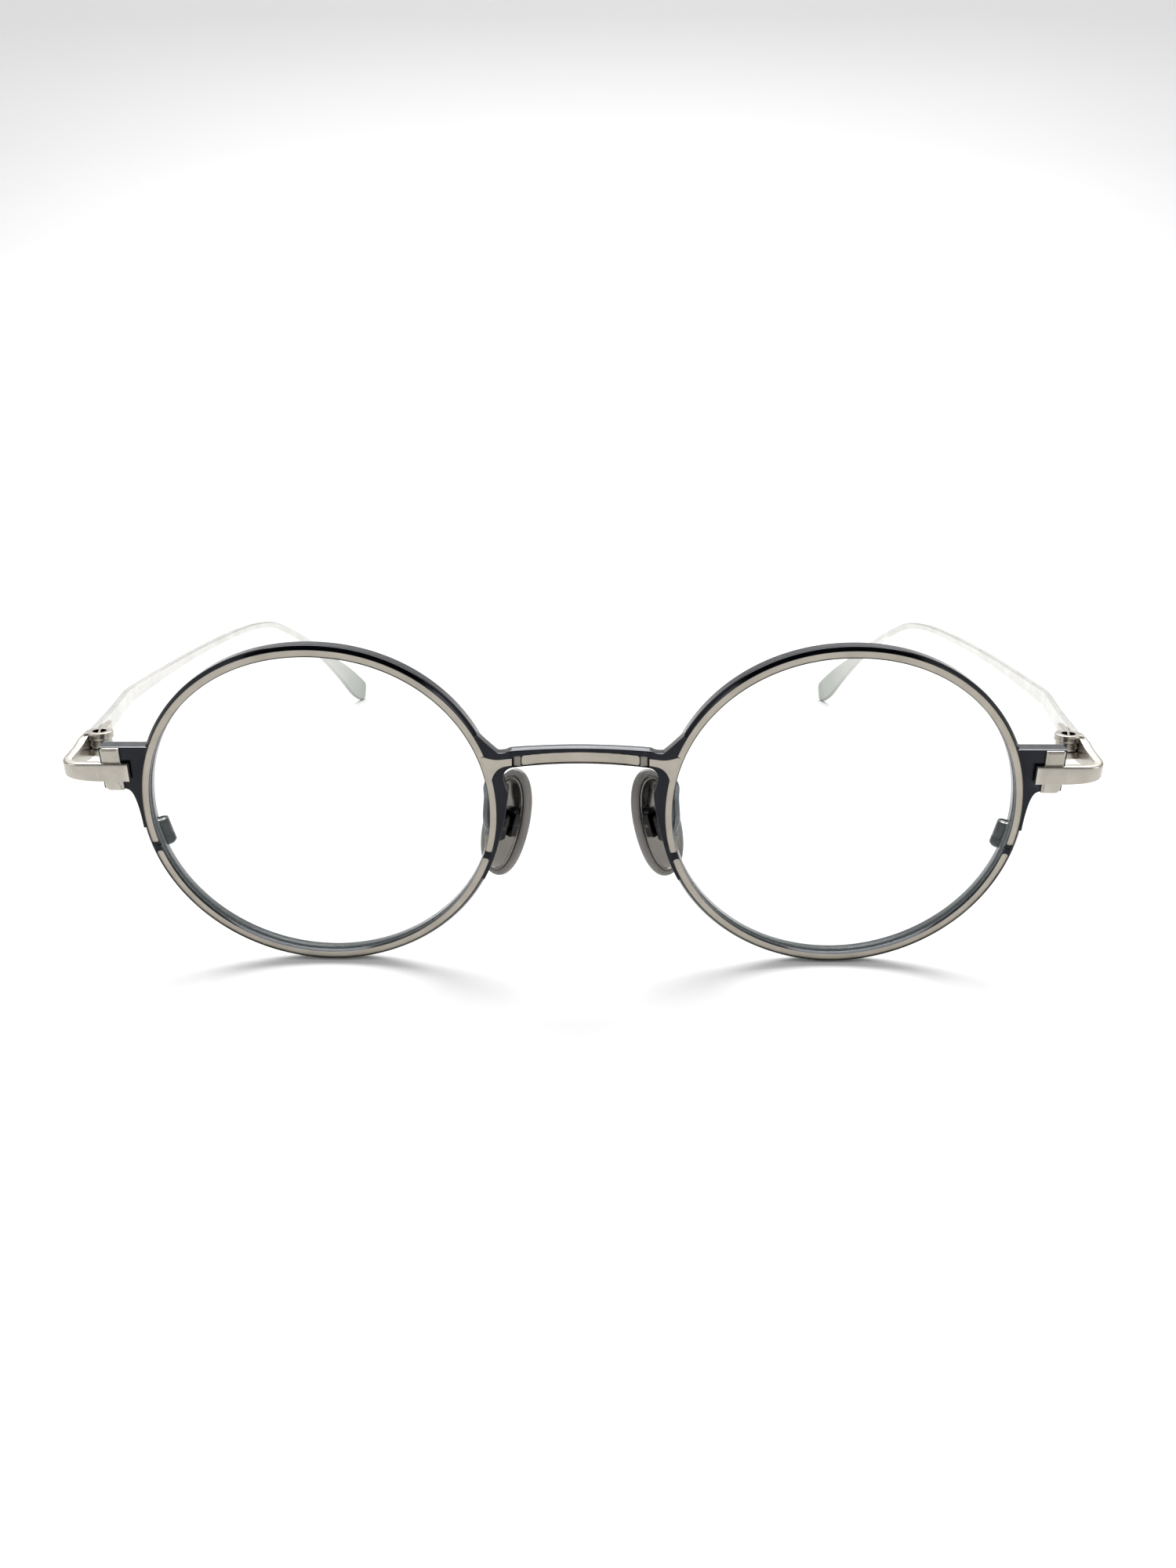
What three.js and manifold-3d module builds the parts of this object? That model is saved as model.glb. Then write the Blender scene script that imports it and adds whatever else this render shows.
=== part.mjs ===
// Round metal eyeglasses, open and standing on their rims and temple tips.
// Millimetres. +X is to the viewer's right, +Y runs from the front to the ears, +Z is up.
// The wearer's left side (+X) is modelled and the wearer's right side is its mirror image.
import * as THREE from "three";
import { mergeVertices } from "three/addons/utils/BufferGeometryUtils.js";
import Module from "manifold-3d";

const wasm = await Module();
wasm.setup();

// ---- Driving dimensions ----
const GAP = 0.05; // between pieces that are joined on the real object
const RUNNING_GAP = 0.08; // between pieces that turn on each other

const LENS_CENTRE = 33.67; // middle of the bridge to the middle of each rim
const RIM_HALF_WIDTH = 21.9; // to the inner edge of the rim
const RIM_HALF_HEIGHT = 20.95;
const CROWN_POWER = 2.07; // above 2 squares the top half of the rim a little
const RIM_WALL = 1.4;
const RIM_BEVEL = 0.6; // depth of the bevel outside the track
const RIM_DEPTH = 2.3;
const RIM_STEPS = 68;
const TRACK_DEPTH = 0.2; // milled track on the front of rims and bridge
const TRACK_INNER = 0.05;
const TRACK_OUTER = 0.88;
const WEB = 1; // where the lug, stub and flange grow out of the rim
const GROOVE = { depth: 0.5, front: 0.62, back: 1.28 };

const FRONT_LEAN = 6; // degrees the top of the front leans away from the face
const FRONT_Y = -72.17; // the front's own origin in the whole object's frame
const FRONT_Z = 22.145;

const SPLIT_ANGLE = -13.2; // where each rim opens to take its lens
const SPLIT_HALF_GAP = 0.25; // degrees
const TRACK_TOP_END = -12;
const TRACK_LOW_END = -15.4;
const NASAL_LAND = [195.6, 198.1]; // degrees where the track is left solid

const LENS_THICKNESS = 1.3;
const LENS_EDGE_FRONT = 0.42; // depth of the lens edge behind the rim front
const LENS_BULGE = 0.8;

const LOCK_RADIUS = 1;
const LOCK_INSET = 0.2; // lock axis outward of the rim's inner edge
const LOCK_UPPER = 2.3;
const LOCK_LOWER = 1.3;

const BRIDGE_HALF = 8.72;
const BRIDGE_DEPTH = 1.6;
const BRIDGE_TOP = 8.97;
const BRIDGE_BOTTOM = 6.9;
const BRIDGE_TRACK_HALF = 7.45;

const LUG_END = 61;
const LUG_TOP = 8.95;
const LUG_BOTTOM = 3.35;
const LUG_DEPTH = 2.1;

const CROSS_POST = { from: 58.3, to: 60.75, bottom: 3.15, top: 8.9, rise: 0.45 };
const CROSS_BAR = { from: 57.25, bottom: 4.62, top: 7.02, rise: 0.95 };
const ARM_THICKNESS = 1.2;

const HINGE_X = 64.3;
const HINGE_DEPTH = 8.2; // behind the front's origin
const HINGE_BOTTOM = 27.56;
const HINGE_TOP = 30.66;
const KNUCKLE_HEIGHT = 0.92;
const KNUCKLE_RADIUS = 1.75;
const TONGUE_RADIUS = 1.5;
const HINGE_SCREW_RADIUS = 0.6;
const HINGE_HEAD = { radius: 1, height: 0.35 };
const TEMPLE_START = 1.95; // hinge axis to the front end of the temple
const TEMPLE_THICKNESS = 1.1;

const WIRE = 1.2; // nose pad arm diameter
const PAD_LENGTH = 16;
const PAD_WIDTH = 7.2;
const PAD_THICKNESS = 1.3;
const PAD_CENTRE = new THREE.Vector3(10.15, -4.4, -6.3);
const PAD_SPLAY = 36; // degrees the pad turns from the front plane
const PAD_FLARE = 14; // degrees the pads open downwards
const PAD_PIVOT = 1.75; // screw axis to the middle of the pad's thickness
const BOX_SIZE = [2.4, 3.6, 1.7]; // along the pad's width, length and thickness
const BOX_WALL = 0.4;
const PAD_SCREW_RADIUS = 0.35;

// ---- Small geometry tools ----
const { degToRad, lerp } = THREE.MathUtils;
const at = (x, y, z) => new THREE.Vector3(x, y, z);

// A closed geometry as a solid whose faces point outwards.
function solid(geometry) {
  const loose = geometry.index ? geometry.toNonIndexed() : geometry;
  const bare = new THREE.BufferGeometry();
  bare.setAttribute("position", loose.getAttribute("position"));
  const merged = mergeVertices(bare, 1e-4);
  const corners = merged.index.array;
  const outward = [];
  const inward = [];
  for (let i = 0; i < corners.length; i += 3) {
    const [a, b, c] = corners.slice(i, i + 3);
    if (a === b || b === c || c === a) continue;
    outward.push(a, b, c);
    inward.push(a, c, b);
  }
  const build = (triVerts) =>
    new wasm.Manifold(
      new wasm.Mesh({
        numProp: 3,
        vertProperties: merged.attributes.position.array,
        triVerts: new Uint32Array(triVerts),
      }),
    );
  const made = build(outward);
  return made.volume() > 0 ? made : build(inward);
}

const joined = (...geometries) =>
  geometries.map(solid).reduce((sum, next) => sum.add(next));
const cut = (body, ...geometries) =>
  geometries.map(solid).reduce((rest, tool) => rest.subtract(tool), body);

// A named mesh from a solid.
function piece(name, body, finish) {
  const { vertProperties, triVerts } = body.getMesh();
  const geometry = new THREE.BufferGeometry();
  geometry.setAttribute("position", new THREE.BufferAttribute(vertProperties, 3));
  geometry.setIndex(new THREE.BufferAttribute(triVerts, 1));
  geometry.computeVertexNormals();
  const mesh = new THREE.Mesh(geometry, new THREE.MeshStandardMaterial(finish));
  mesh.name = name;
  return mesh;
}

function block([x0, x1], [y0, y1], [z0, z1]) {
  const geometry = new THREE.BoxGeometry(x1 - x0, y1 - y0, z1 - z0);
  return geometry.translate((x0 + x1) / 2, (y0 + y1) / 2, (z0 + z1) / 2);
}

function rod(radius, from, to, sides = 20) {
  const axis = to.clone().sub(from);
  const length = axis.length();
  const turn = new THREE.Quaternion().setFromUnitVectors(at(0, 1, 0), axis.normalize());
  return new THREE.CylinderGeometry(radius, radius, length, sides)
    .translate(0, length / 2, 0)
    .applyQuaternion(turn)
    .translate(from.x, from.y, from.z);
}

// A skin over rings of equally many points, closed by a fan at both ends.
function loft(rings) {
  const sides = rings[0].length;
  const index = [];
  rings.slice(1).forEach((ring, r) => {
    for (let i = 0; i < sides; i += 1) {
      const next = (i + 1) % sides;
      const [a, b] = [r * sides + i, r * sides + next];
      index.push(a, b, b + sides, a, b + sides, a + sides);
    }
  });
  const last = (rings.length - 1) * sides;
  for (let i = 1; i < sides - 1; i += 1) {
    index.push(0, i + 1, i);
    index.push(last, last + i, last + i + 1);
  }
  return new THREE.BufferGeometry().setFromPoints(rings.flat()).setIndex(index);
}

// An eight-cornered ring, high by wide, around a centre.
function chamferedRing(centre, side, up, wide, high, chamfer) {
  const [w, h] = [wide / 2, high / 2];
  const corners = [
    [w - chamfer, -h],
    [w, -h + chamfer],
    [w, h - chamfer],
    [w - chamfer, h],
    [-w + chamfer, h],
    [-w, h - chamfer],
    [-w, -h + chamfer],
    [-w + chamfer, -h],
  ];
  return corners.map(([s, u]) =>
    centre.clone().addScaledVector(side, s).addScaledVector(up, u),
  );
}

function extruded(shape, front, back, curveSegments = 6) {
  const geometry = new THREE.ExtrudeGeometry(shape, {
    depth: front - back,
    bevelEnabled: false,
    curveSegments,
  });
  return geometry.translate(0, 0, back);
}

// ---- Rim ----
// The rim's outline at a distance outside its inner edge, around the lens centre.
// Angle 0 points to the temple, 90 up.
class RimOutline extends THREE.Curve {
  constructor(offset, from, to) {
    super();
    Object.assign(this, { offset, from, to });
  }
  getPoint(t, target = new THREE.Vector3()) {
    const angle = degToRad(lerp(this.from, this.to, t));
    const [c, s] = [Math.cos(angle), Math.sin(angle)];
    const power = s > 0 ? CROWN_POWER : 2;
    const bend = (value, exponent) => Math.sign(value) * Math.abs(value) ** exponent;
    const normal = at(
      bend(c, 2 - 2 / power) / RIM_HALF_WIDTH,
      bend(s, 2 - 2 / power) / RIM_HALF_HEIGHT,
      0,
    ).normalize();
    return target
      .set(RIM_HALF_WIDTH * bend(c, 2 / power), RIM_HALF_HEIGHT * bend(s, 2 / power), 0)
      .addScaledVector(normal, this.offset);
  }
}

const rimPoint = (angle, offset) => new RimOutline(offset, angle, angle).getPoint(0);

// Sweeps a section of [depth behind the front, distance outside the inner edge].
function rimSweep(section, from, to, steps) {
  const shape = new THREE.Shape(section.map(([d, o]) => new THREE.Vector2(d, -o)));
  return new THREE.ExtrudeGeometry(shape, {
    steps,
    extrudePath: new RimOutline(0, from, to),
  });
}

const RIM_SECTION = [
  [RIM_BEVEL, RIM_WALL],
  [RIM_BEVEL * 0.2, TRACK_OUTER + 0.25],
  [0, TRACK_OUTER + 0.08],
  [0, TRACK_OUTER],
  [TRACK_DEPTH, TRACK_OUTER],
  [TRACK_DEPTH, TRACK_INNER],
  [0.06, TRACK_INNER],
  [0.06, 0],
  [GROOVE.front, 0],
  [(GROOVE.front + GROOVE.back) / 2, GROOVE.depth],
  [GROOVE.back, 0],
  [RIM_DEPTH, 0],
  [RIM_DEPTH, RIM_WALL - 0.12],
  [RIM_DEPTH - 0.12, RIM_WALL],
];

const LAND_SECTION = [
  [0, TRACK_INNER - 0.04],
  [TRACK_DEPTH + 0.05, TRACK_INNER - 0.04],
  [TRACK_DEPTH + 0.05, TRACK_OUTER + 0.03],
  [0, TRACK_OUTER + 0.03],
];

// The part of the rim that carries the temple joint.
function lugShape() {
  const inner = [22, 17, 12, 6, 1].map((angle) => rimPoint(angle, WEB));
  const shape = new THREE.Shape();
  shape.moveTo(inner[0].x, LUG_TOP);
  shape.lineTo(inner[0].x, inner[0].y);
  inner.slice(1).forEach(({ x, y }) => shape.lineTo(x, y));
  shape.lineTo(RIM_HALF_WIDTH + RIM_WALL - 0.05, inner[4].y);
  shape.quadraticCurveTo(23.95, LUG_BOTTOM, 26, LUG_BOTTOM);
  shape.lineTo(LUG_END - LENS_CENTRE, LUG_BOTTOM);
  shape.lineTo(LUG_END - LENS_CENTRE, LUG_TOP);
  return shape;
}

// The stub that reaches from the rim to the bridge, in the same frame as the rim.
function stubShape() {
  const end = BRIDGE_HALF + GAP - LENS_CENTRE;
  const wall = [155, 160, 165, 170].map((angle) => rimPoint(angle, WEB));
  const shape = new THREE.Shape();
  shape.moveTo(end, 8.6);
  shape.quadraticCurveTo(-24.3, 8.02, -23.6, 8.05);
  shape.quadraticCurveTo(-22.5, 8.1, wall[0].x - 0.3, wall[0].y);
  wall.forEach(({ x, y }) => shape.lineTo(x, y));
  shape.lineTo(wall[3].x - 0.4, wall[3].y - 0.2);
  shape.quadraticCurveTo(-23.5, 6, end, 6.32);
  return shape;
}

// The flat flange on the nose side of the rim, below the stub.
function flangeShape() {
  const wall = [206, 200, 194, 188, 182, 176, 170].map((angle) => rimPoint(angle, WEB));
  const shape = new THREE.Shape();
  shape.moveTo(wall[0].x, wall[0].y);
  shape.quadraticCurveTo(-22.55, -7.1, -23.05, -3.6);
  shape.quadraticCurveTo(-24.1, 0, -24.35, 2.75);
  shape.lineTo(-23.75, 4.4);
  shape.lineTo(-23.75, 6);
  shape.lineTo(wall[6].x, 6);
  wall.reverse().forEach(({ x, y }) => shape.lineTo(x, y));
  return shape;
}

// The branch of the track that leads from the rim towards the bridge.
function branchShape() {
  const end = BRIDGE_HALF - 0.3 - LENS_CENTRE;
  const shape = new THREE.Shape();
  shape.moveTo(end, 7.6);
  shape.lineTo(-22.1, 7.33);
  shape.lineTo(-20.95, 7.25);
  shape.lineTo(-21.4, 5.2);
  shape.lineTo(-22.1, 5.2);
  shape.quadraticCurveTo(-22.7, 6.4, end, 6.6);
  return shape;
}

function rim() {
  const start = SPLIT_ANGLE + SPLIT_HALF_GAP;
  const finish = SPLIT_ANGLE - SPLIT_HALF_GAP + 360;
  const ring = rimSweep(RIM_SECTION, start, finish, RIM_STEPS);
  const lands = [
    [NASAL_LAND[0], NASAL_LAND[1]],
    [start, TRACK_TOP_END],
    [TRACK_LOW_END + 360, finish],
  ].map(([from, to]) => rimSweep(LAND_SECTION, from, to, 1));
  const lug = extruded(lugShape(), 0, -LUG_DEPTH, 4);
  const stub = extruded(stubShape(), 0, -BRIDGE_DEPTH, 4);
  const flange = extruded(flangeShape(), 0, -RIM_DEPTH, 5);
  const branch = extruded(branchShape(), 1, -TRACK_DEPTH, 4);
  return cut(joined(ring, ...lands, lug, stub, flange), branch);
}

// ---- Lens ----
// A turned disc whose circle is drawn out to the rim's outline.
function lens() {
  const edge = 1 - (GAP + 0.03) / RIM_HALF_WIDTH;
  const apex = 1 + (GROOVE.depth - 0.12) / RIM_HALF_WIDTH;
  const front = -LENS_EDGE_FRONT;
  const back = front - LENS_THICKNESS;
  const middle = -(GROOVE.front + GROOVE.back) / 2;
  const profile = [
    [0, back + LENS_BULGE],
    [0.62, back + LENS_BULGE * 0.62],
    [edge, back],
    [edge, -GROOVE.back],
    [apex, middle],
    [edge, -GROOVE.front],
    [edge, front],
    [0.62, front + LENS_BULGE * 0.62],
    [0, front + LENS_BULGE],
  ].map(([radius, height]) => new THREE.Vector2(radius, height));
  const disc = new THREE.LatheGeometry(profile, 60).rotateX(Math.PI / 2);
  const place = disc.getAttribute("position");
  for (let i = 0; i < place.count; i += 1) {
    const [x, y] = [place.getX(i), place.getY(i)];
    const reach = Math.hypot(x, y);
    const outline = rimPoint(THREE.MathUtils.radToDeg(Math.atan2(y, x)), 0);
    place.setX(i, outline.x * reach);
    place.setY(i, outline.y * reach);
  }
  return solid(disc);
}

// ---- Rim lock: two barrels and the screw that closes the rim on the lens ----
function lockParts() {
  const centre = rimPoint(SPLIT_ANGLE, LOCK_INSET).setZ(-RIM_DEPTH - GAP - LOCK_RADIUS);
  const ahead = rimPoint(SPLIT_ANGLE + 1, LOCK_INSET).setZ(centre.z);
  const up = ahead.sub(centre).normalize();
  const along = (distance) => centre.clone().addScaledVector(up, distance);
  const headSeat = LOCK_UPPER - 0.4;
  const upper = cut(
    joined(rod(LOCK_RADIUS, along(0.1), along(LOCK_UPPER), 16)),
    rod(0.5, along(0), along(headSeat + 0.1), 12),
    rod(0.75, along(headSeat), along(LOCK_UPPER + 1), 12),
  );
  const lower = cut(
    joined(rod(LOCK_RADIUS, along(-LOCK_LOWER), along(-0.1), 16)),
    rod(0.5, along(-LOCK_LOWER - 1), along(0), 12),
  );
  const screw = joined(
    rod(0.42, along(-LOCK_LOWER + 0.1), along(headSeat + 0.2), 12),
    rod(0.68, along(headSeat + GAP), along(headSeat + 0.32), 12),
  );
  return { upper, lower, screw };
}

// ---- Bridge ----
function bridge() {
  const shape = new THREE.Shape();
  shape.moveTo(-BRIDGE_HALF, 6.3);
  shape.quadraticCurveTo(0, BRIDGE_BOTTOM * 2 - 6.3, BRIDGE_HALF, 6.3);
  shape.lineTo(BRIDGE_HALF, 8.6);
  shape.quadraticCurveTo(0, BRIDGE_TOP * 2 - 8.6, -BRIDGE_HALF, 8.6);
  const track = new THREE.Shape();
  const [low, high] = [6.62, 7.95];
  track.moveTo(-BRIDGE_TRACK_HALF, low);
  track.quadraticCurveTo(0, 7.56, BRIDGE_TRACK_HALF, low);
  track.quadraticCurveTo(BRIDGE_TRACK_HALF + 0.5, (low + high) / 2, BRIDGE_TRACK_HALF, high);
  track.quadraticCurveTo(0, 8.95, -BRIDGE_TRACK_HALF, high);
  track.quadraticCurveTo(-BRIDGE_TRACK_HALF - 0.5, (low + high) / 2, -BRIDGE_TRACK_HALF, low);
  const bar = joined(extruded(shape, 0, -BRIDGE_DEPTH, 10));
  return cut(bar, extruded(track, 1, -TRACK_DEPTH, 10));
}

// ---- Endpiece: cross, arm and the two fixed knuckles of the hinge ----
// Built in the front's frame. hingeFrame brings what stands on the hinge axis into it.
function arm() {
  const middle = (CROSS_BAR.bottom + CROSS_BAR.top) / 2;
  const centre = CROSS_BAR.rise - ARM_THICKNESS / 2;
  const high = CROSS_BAR.top - CROSS_BAR.bottom;
  const tall = HINGE_TOP - HINGE_BOTTOM;
  const stations = [
    { x: LUG_END + GAP, z: centre, turn: 0, y: middle, high },
    { x: 62.8, z: centre, turn: 0, y: middle + 0.04, high: high - 0.1 },
    { x: 63.9, z: centre - 0.04, turn: 6, y: middle + 0.12, high: high - 0.25 },
    { x: 64.8, z: centre - 0.36, turn: 34, y: middle + 0.2, high: high - 0.42 },
    { x: 65.4, z: centre - 1.05, turn: 62, y: middle + 0.24, high: high - 0.5 },
    { x: 65.68, z: centre - 2.1, turn: 86, y: middle + 0.24, high: high - 0.45 },
    { x: 65.75, z: -5, turn: 89, y: middle + 0.15, high },
    { x: 65.8, z: -7, turn: 90, y: middle + 0.1, high: tall },
    { x: 65.8, z: -HINGE_DEPTH - 2.7, turn: 90, y: middle + 0.1, high: tall },
  ];
  const rings = stations.map((s) => {
    const side = at(Math.sin(degToRad(s.turn)), 0, Math.cos(degToRad(s.turn)));
    const centreAt = at(s.x, s.y, s.z);
    return chamferedRing(centreAt, side, at(0, 1, 0), ARM_THICKNESS, s.high, 0.22);
  });
  return loft(rings);
}

function endpiece(hingeFrame) {
  const { from, bottom, top, rise } = CROSS_BAR;
  const bar = block([from, LUG_END + 1], [bottom, top], [GAP, rise]);
  const post = block(
    [CROSS_POST.from, CROSS_POST.to],
    [CROSS_POST.bottom, CROSS_POST.top],
    [GAP, CROSS_POST.rise],
  );
  const inHinge = (geometry) => geometry.applyMatrix4(hingeFrame);
  const knuckle = (low, high) => [
    inHinge(rod(KNUCKLE_RADIUS, at(0, 0, low), at(0, 0, high), 24)),
    inHinge(block([0, 1.6], [-1.6, KNUCKLE_RADIUS], [low, high])),
  ];
  const lowTop = HINGE_BOTTOM + KNUCKLE_HEIGHT;
  const highBottom = HINGE_TOP - KNUCKLE_HEIGHT;
  const body = joined(
    bar,
    post,
    arm(),
    ...knuckle(HINGE_BOTTOM, lowTop),
    ...knuckle(highBottom, HINGE_TOP),
  );
  const screwHole = HINGE_SCREW_RADIUS + RUNNING_GAP;
  const far = 5;
  return cut(
    body,
    inHinge(rod(TONGUE_RADIUS + 0.12, at(0, 0, lowTop), at(0, 0, highBottom), 24)),
    inHinge(block([-far, 0.95], [0, far], [lowTop, highBottom])),
    inHinge(block([-far, far], [TEMPLE_START - RUNNING_GAP, far], [0, 40])),
    inHinge(rod(screwHole, at(0, 0, 0), at(0, 0, 40))),
    inHinge(
      rod(
        HINGE_HEAD.radius + RUNNING_GAP,
        at(0, 0, HINGE_TOP - HINGE_HEAD.height - GAP),
        at(0, 0, HINGE_TOP + 1),
      ),
    ),
  );
}

function hingeScrew(hingeFrame) {
  const headBottom = HINGE_TOP - HINGE_HEAD.height;
  const shank = rod(HINGE_SCREW_RADIUS, at(0, 0, HINGE_BOTTOM + 0.05), at(0, 0, HINGE_TOP - 0.1));
  const head = rod(HINGE_HEAD.radius, at(0, 0, headBottom), at(0, 0, HINGE_TOP - 0.02));
  return joined(shank.applyMatrix4(hingeFrame), head.applyMatrix4(hingeFrame));
}

// ---- Temple, in a frame whose Z axis is the hinge axis ----
// Middle line: x outward, y back, z up, then the height and thickness of the section.
const TEMPLE_STATIONS = [
  [1.85, TEMPLE_START, 28.96, 2.7, 1.1],
  [2.85, 8, 28.81, 2.5, 1.1],
  [4.2, 16, 28.66, 2.35, 1.1],
  [5.75, 24.5, 28.56, 2.3, 1.05],
  [6.25, 28, 28.51, 2.25, 1.05],
  [6.4, 33, 28.41, 2.1, 1.05],
  [6.5, 45, 28.26, 1.75, 1.1],
  [6.3, 58, 28.06, 1.5, 1.15],
  [5.6, 70, 27.86, 1.35, 1.2],
  [4.4, 80, 27.76, 1.3, 1.2],
  [2.9, 88, 27.46, 1.3, 1.2],
  [1.2, 95.5, 26.26, 1.3, 1.2],
  [-0.6, 102.5, 23.36, 1.35, 1.2],
  [-2.4, 109.5, 19.66, 1.5, 1.15],
  [-4.1, 116, 15.4, 2, 1.1],
  [-5.5, 122, 11.5, 3.2, 1.05],
  [-6.6, 127.5, 7.9, 4.4, 1],
  [-7.5, 132, 4.75, 5.2, 1],
  [-8.1, 135.2, 2.83, 5, 1],
  [-8.5, 137, 1.93, 4.2, 1],
  [-8.7, 137.9, 1.6, 2.8, 0.8],
];

function temple() {
  const middles = TEMPLE_STATIONS.map(([x, y, z]) => at(x, y, z));
  const last = middles.length - 1;
  const rings = TEMPLE_STATIONS.map(([, , , high, wide], i) => {
    const ahead = middles[Math.min(i + 1, last)];
    const behind = middles[Math.max(i - 1, 0)];
    const along = i === 0 ? at(0, 1, 0) : ahead.clone().sub(behind).normalize();
    const side = along.clone().cross(at(0, 0, 1)).normalize();
    const up = side.clone().cross(along);
    return chamferedRing(middles[i], side, up, wide, high, Math.min(wide, high) * 0.27);
  });
  return solid(loft(rings));
}

// The temple's half of the hinge: a leaf on the inner face and the tongue in the slot.
function templeHinge() {
  const low = HINGE_BOTTOM + KNUCKLE_HEIGHT + RUNNING_GAP;
  const high = HINGE_TOP - KNUCKLE_HEIGHT - RUNNING_GAP;
  const leafFront = TEMPLE_START + 0.25;
  const inner = 1.85 - TEMPLE_THICKNESS / 2 - GAP;
  const leaf = loft([
    chamferedRing(at(inner - 0.48, leafFront, 29.1), at(1, 0, 0), at(0, 0, 1), 0.9, 2.3, 0.12),
    chamferedRing(at(inner + 0.16, 7.2, 29), at(1, 0, 0), at(0, 0, 1), 0.9, 2.3, 0.12),
  ]);
  const neck = block([-1, inner - 0.45], [0, leafFront + 0.2], [low, high]);
  const tongue = rod(TONGUE_RADIUS, at(0, 0, low), at(0, 0, high), 24);
  const bore = rod(HINGE_SCREW_RADIUS + RUNNING_GAP, at(0, 0, 0), at(0, 0, 40));
  return cut(joined(leaf, neck, tongue), bore);
}

// ---- Nose pad, in a frame with X across the pad, Y up it and Z out of its outer face ----
function padOutline(length, width) {
  const [l, w] = [length / 2, width / 2];
  const shape = new THREE.Shape();
  shape.moveTo(0, -l);
  shape.bezierCurveTo(w * 0.75, -l, w * 1.05, -l * 0.5, w, 0);
  shape.bezierCurveTo(w * 0.95, l * 0.55, w * 0.55, l, 0, l);
  shape.bezierCurveTo(-w * 0.6, l, -w, l * 0.6, -w, 0);
  shape.bezierCurveTo(-w, -l * 0.6, -w * 0.65, -l, 0, -l);
  return shape;
}

function nosePad() {
  const half = PAD_THICKNESS / 2;
  const bevel = 0.35;
  const body = new THREE.ExtrudeGeometry(padOutline(PAD_LENGTH - 0.5, PAD_WIDTH - 0.5), {
    depth: PAD_THICKNESS - 2 * bevel,
    bevelThickness: bevel,
    bevelSize: 0.25,
    bevelSegments: 2,
    curveSegments: 6,
  }).translate(0, 0, -half + bevel);
  const seat = extruded(padOutline(PAD_LENGTH - 1.7, PAD_WIDTH - 1.5), 2, half - 0.35);
  return cut(solid(body), seat);
}

function padCore() {
  const half = PAD_THICKNESS / 2;
  const plate = extruded(padOutline(PAD_LENGTH - 1.9, PAD_WIDTH - 1.7), half, half - 0.3);
  const [wide, , deep] = BOX_SIZE;
  const inside = wide / 2 - BOX_WALL - RUNNING_GAP;
  const stud = block([-inside, inside], [-0.5, 0.5], [half - 0.05, PAD_PIVOT + deep / 4]);
  const hole = rod(PAD_SCREW_RADIUS + 0.06, at(-3, 0, PAD_PIVOT), at(3, 0, PAD_PIVOT), 16);
  return cut(joined(plate, stud), hole);
}

function padBox() {
  const [wide, tall, deep] = BOX_SIZE;
  const low = PAD_PIVOT - deep / 2 + 0.25;
  const high = PAD_PIVOT + deep / 2 + 0.15;
  const shell = block([-wide / 2, wide / 2], [-tall / 2, tall / 2], [low, high]);
  const inside = wide / 2 - BOX_WALL;
  const hollow = block([-inside, inside], [-1.35, 1.35], [low - 1, high - BOX_WALL]);
  const hole = rod(PAD_SCREW_RADIUS + 0.03, at(-3, 0, PAD_PIVOT), at(3, 0, PAD_PIVOT), 16);
  return cut(solid(shell), hollow, hole);
}

function padScrew() {
  const end = BOX_SIZE[0] / 2;
  const shank = rod(PAD_SCREW_RADIUS, at(-end, 0, PAD_PIVOT), at(end + 0.3, 0, PAD_PIVOT), 16);
  const head = rod(0.6, at(end + GAP, 0, PAD_PIVOT), at(end + 0.4, 0, PAD_PIVOT), 16);
  return joined(shank, head);
}

// The wire from the rim's back, out in a loop and in to the pad's box.
function padArm(boxBack) {
  const route = new THREE.CatmullRomCurve3([
    at(10.35, 2.9, -RIM_DEPTH - GAP),
    at(10.35, 2.9, -3.1),
    at(10.8, 2.85, -4),
    at(11.7, 2.6, -4.5),
    at(12.3, 1.7, -4.6),
    at(12.3, 0.1, -4.4),
    boxBack.clone().add(at(0.35, 1.5, 0)),
    boxBack,
  ]);
  const section = new THREE.Shape();
  section.absarc(0, 0, WIRE / 2, 0, Math.PI * 2);
  return new THREE.ExtrudeGeometry(section, {
    steps: 22,
    curveSegments: 5,
    extrudePath: route,
  });
}

// ---- Finishes ----
const NAVY = { color: 0x2a2e36, roughness: 0.35, metalness: 0.8 };
const SILVER = { color: 0xb5ada0, roughness: 0.3, metalness: 1 };
const TEMPLE_SILVER = { color: 0xb9b8b2, roughness: 0.28, metalness: 1 };
const STEEL = { color: 0xc9c9c6, roughness: 0.2, metalness: 1 };
const CLEAR = { color: 0xeef4ee, roughness: 0.02, metalness: 0, opacity: 0.2, transparent: true };
const SMOKE = { color: 0xa7a299, roughness: 0.15, metalness: 0 };
const CORE = { color: 0x8d867c, roughness: 0.12, metalness: 1 };

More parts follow.
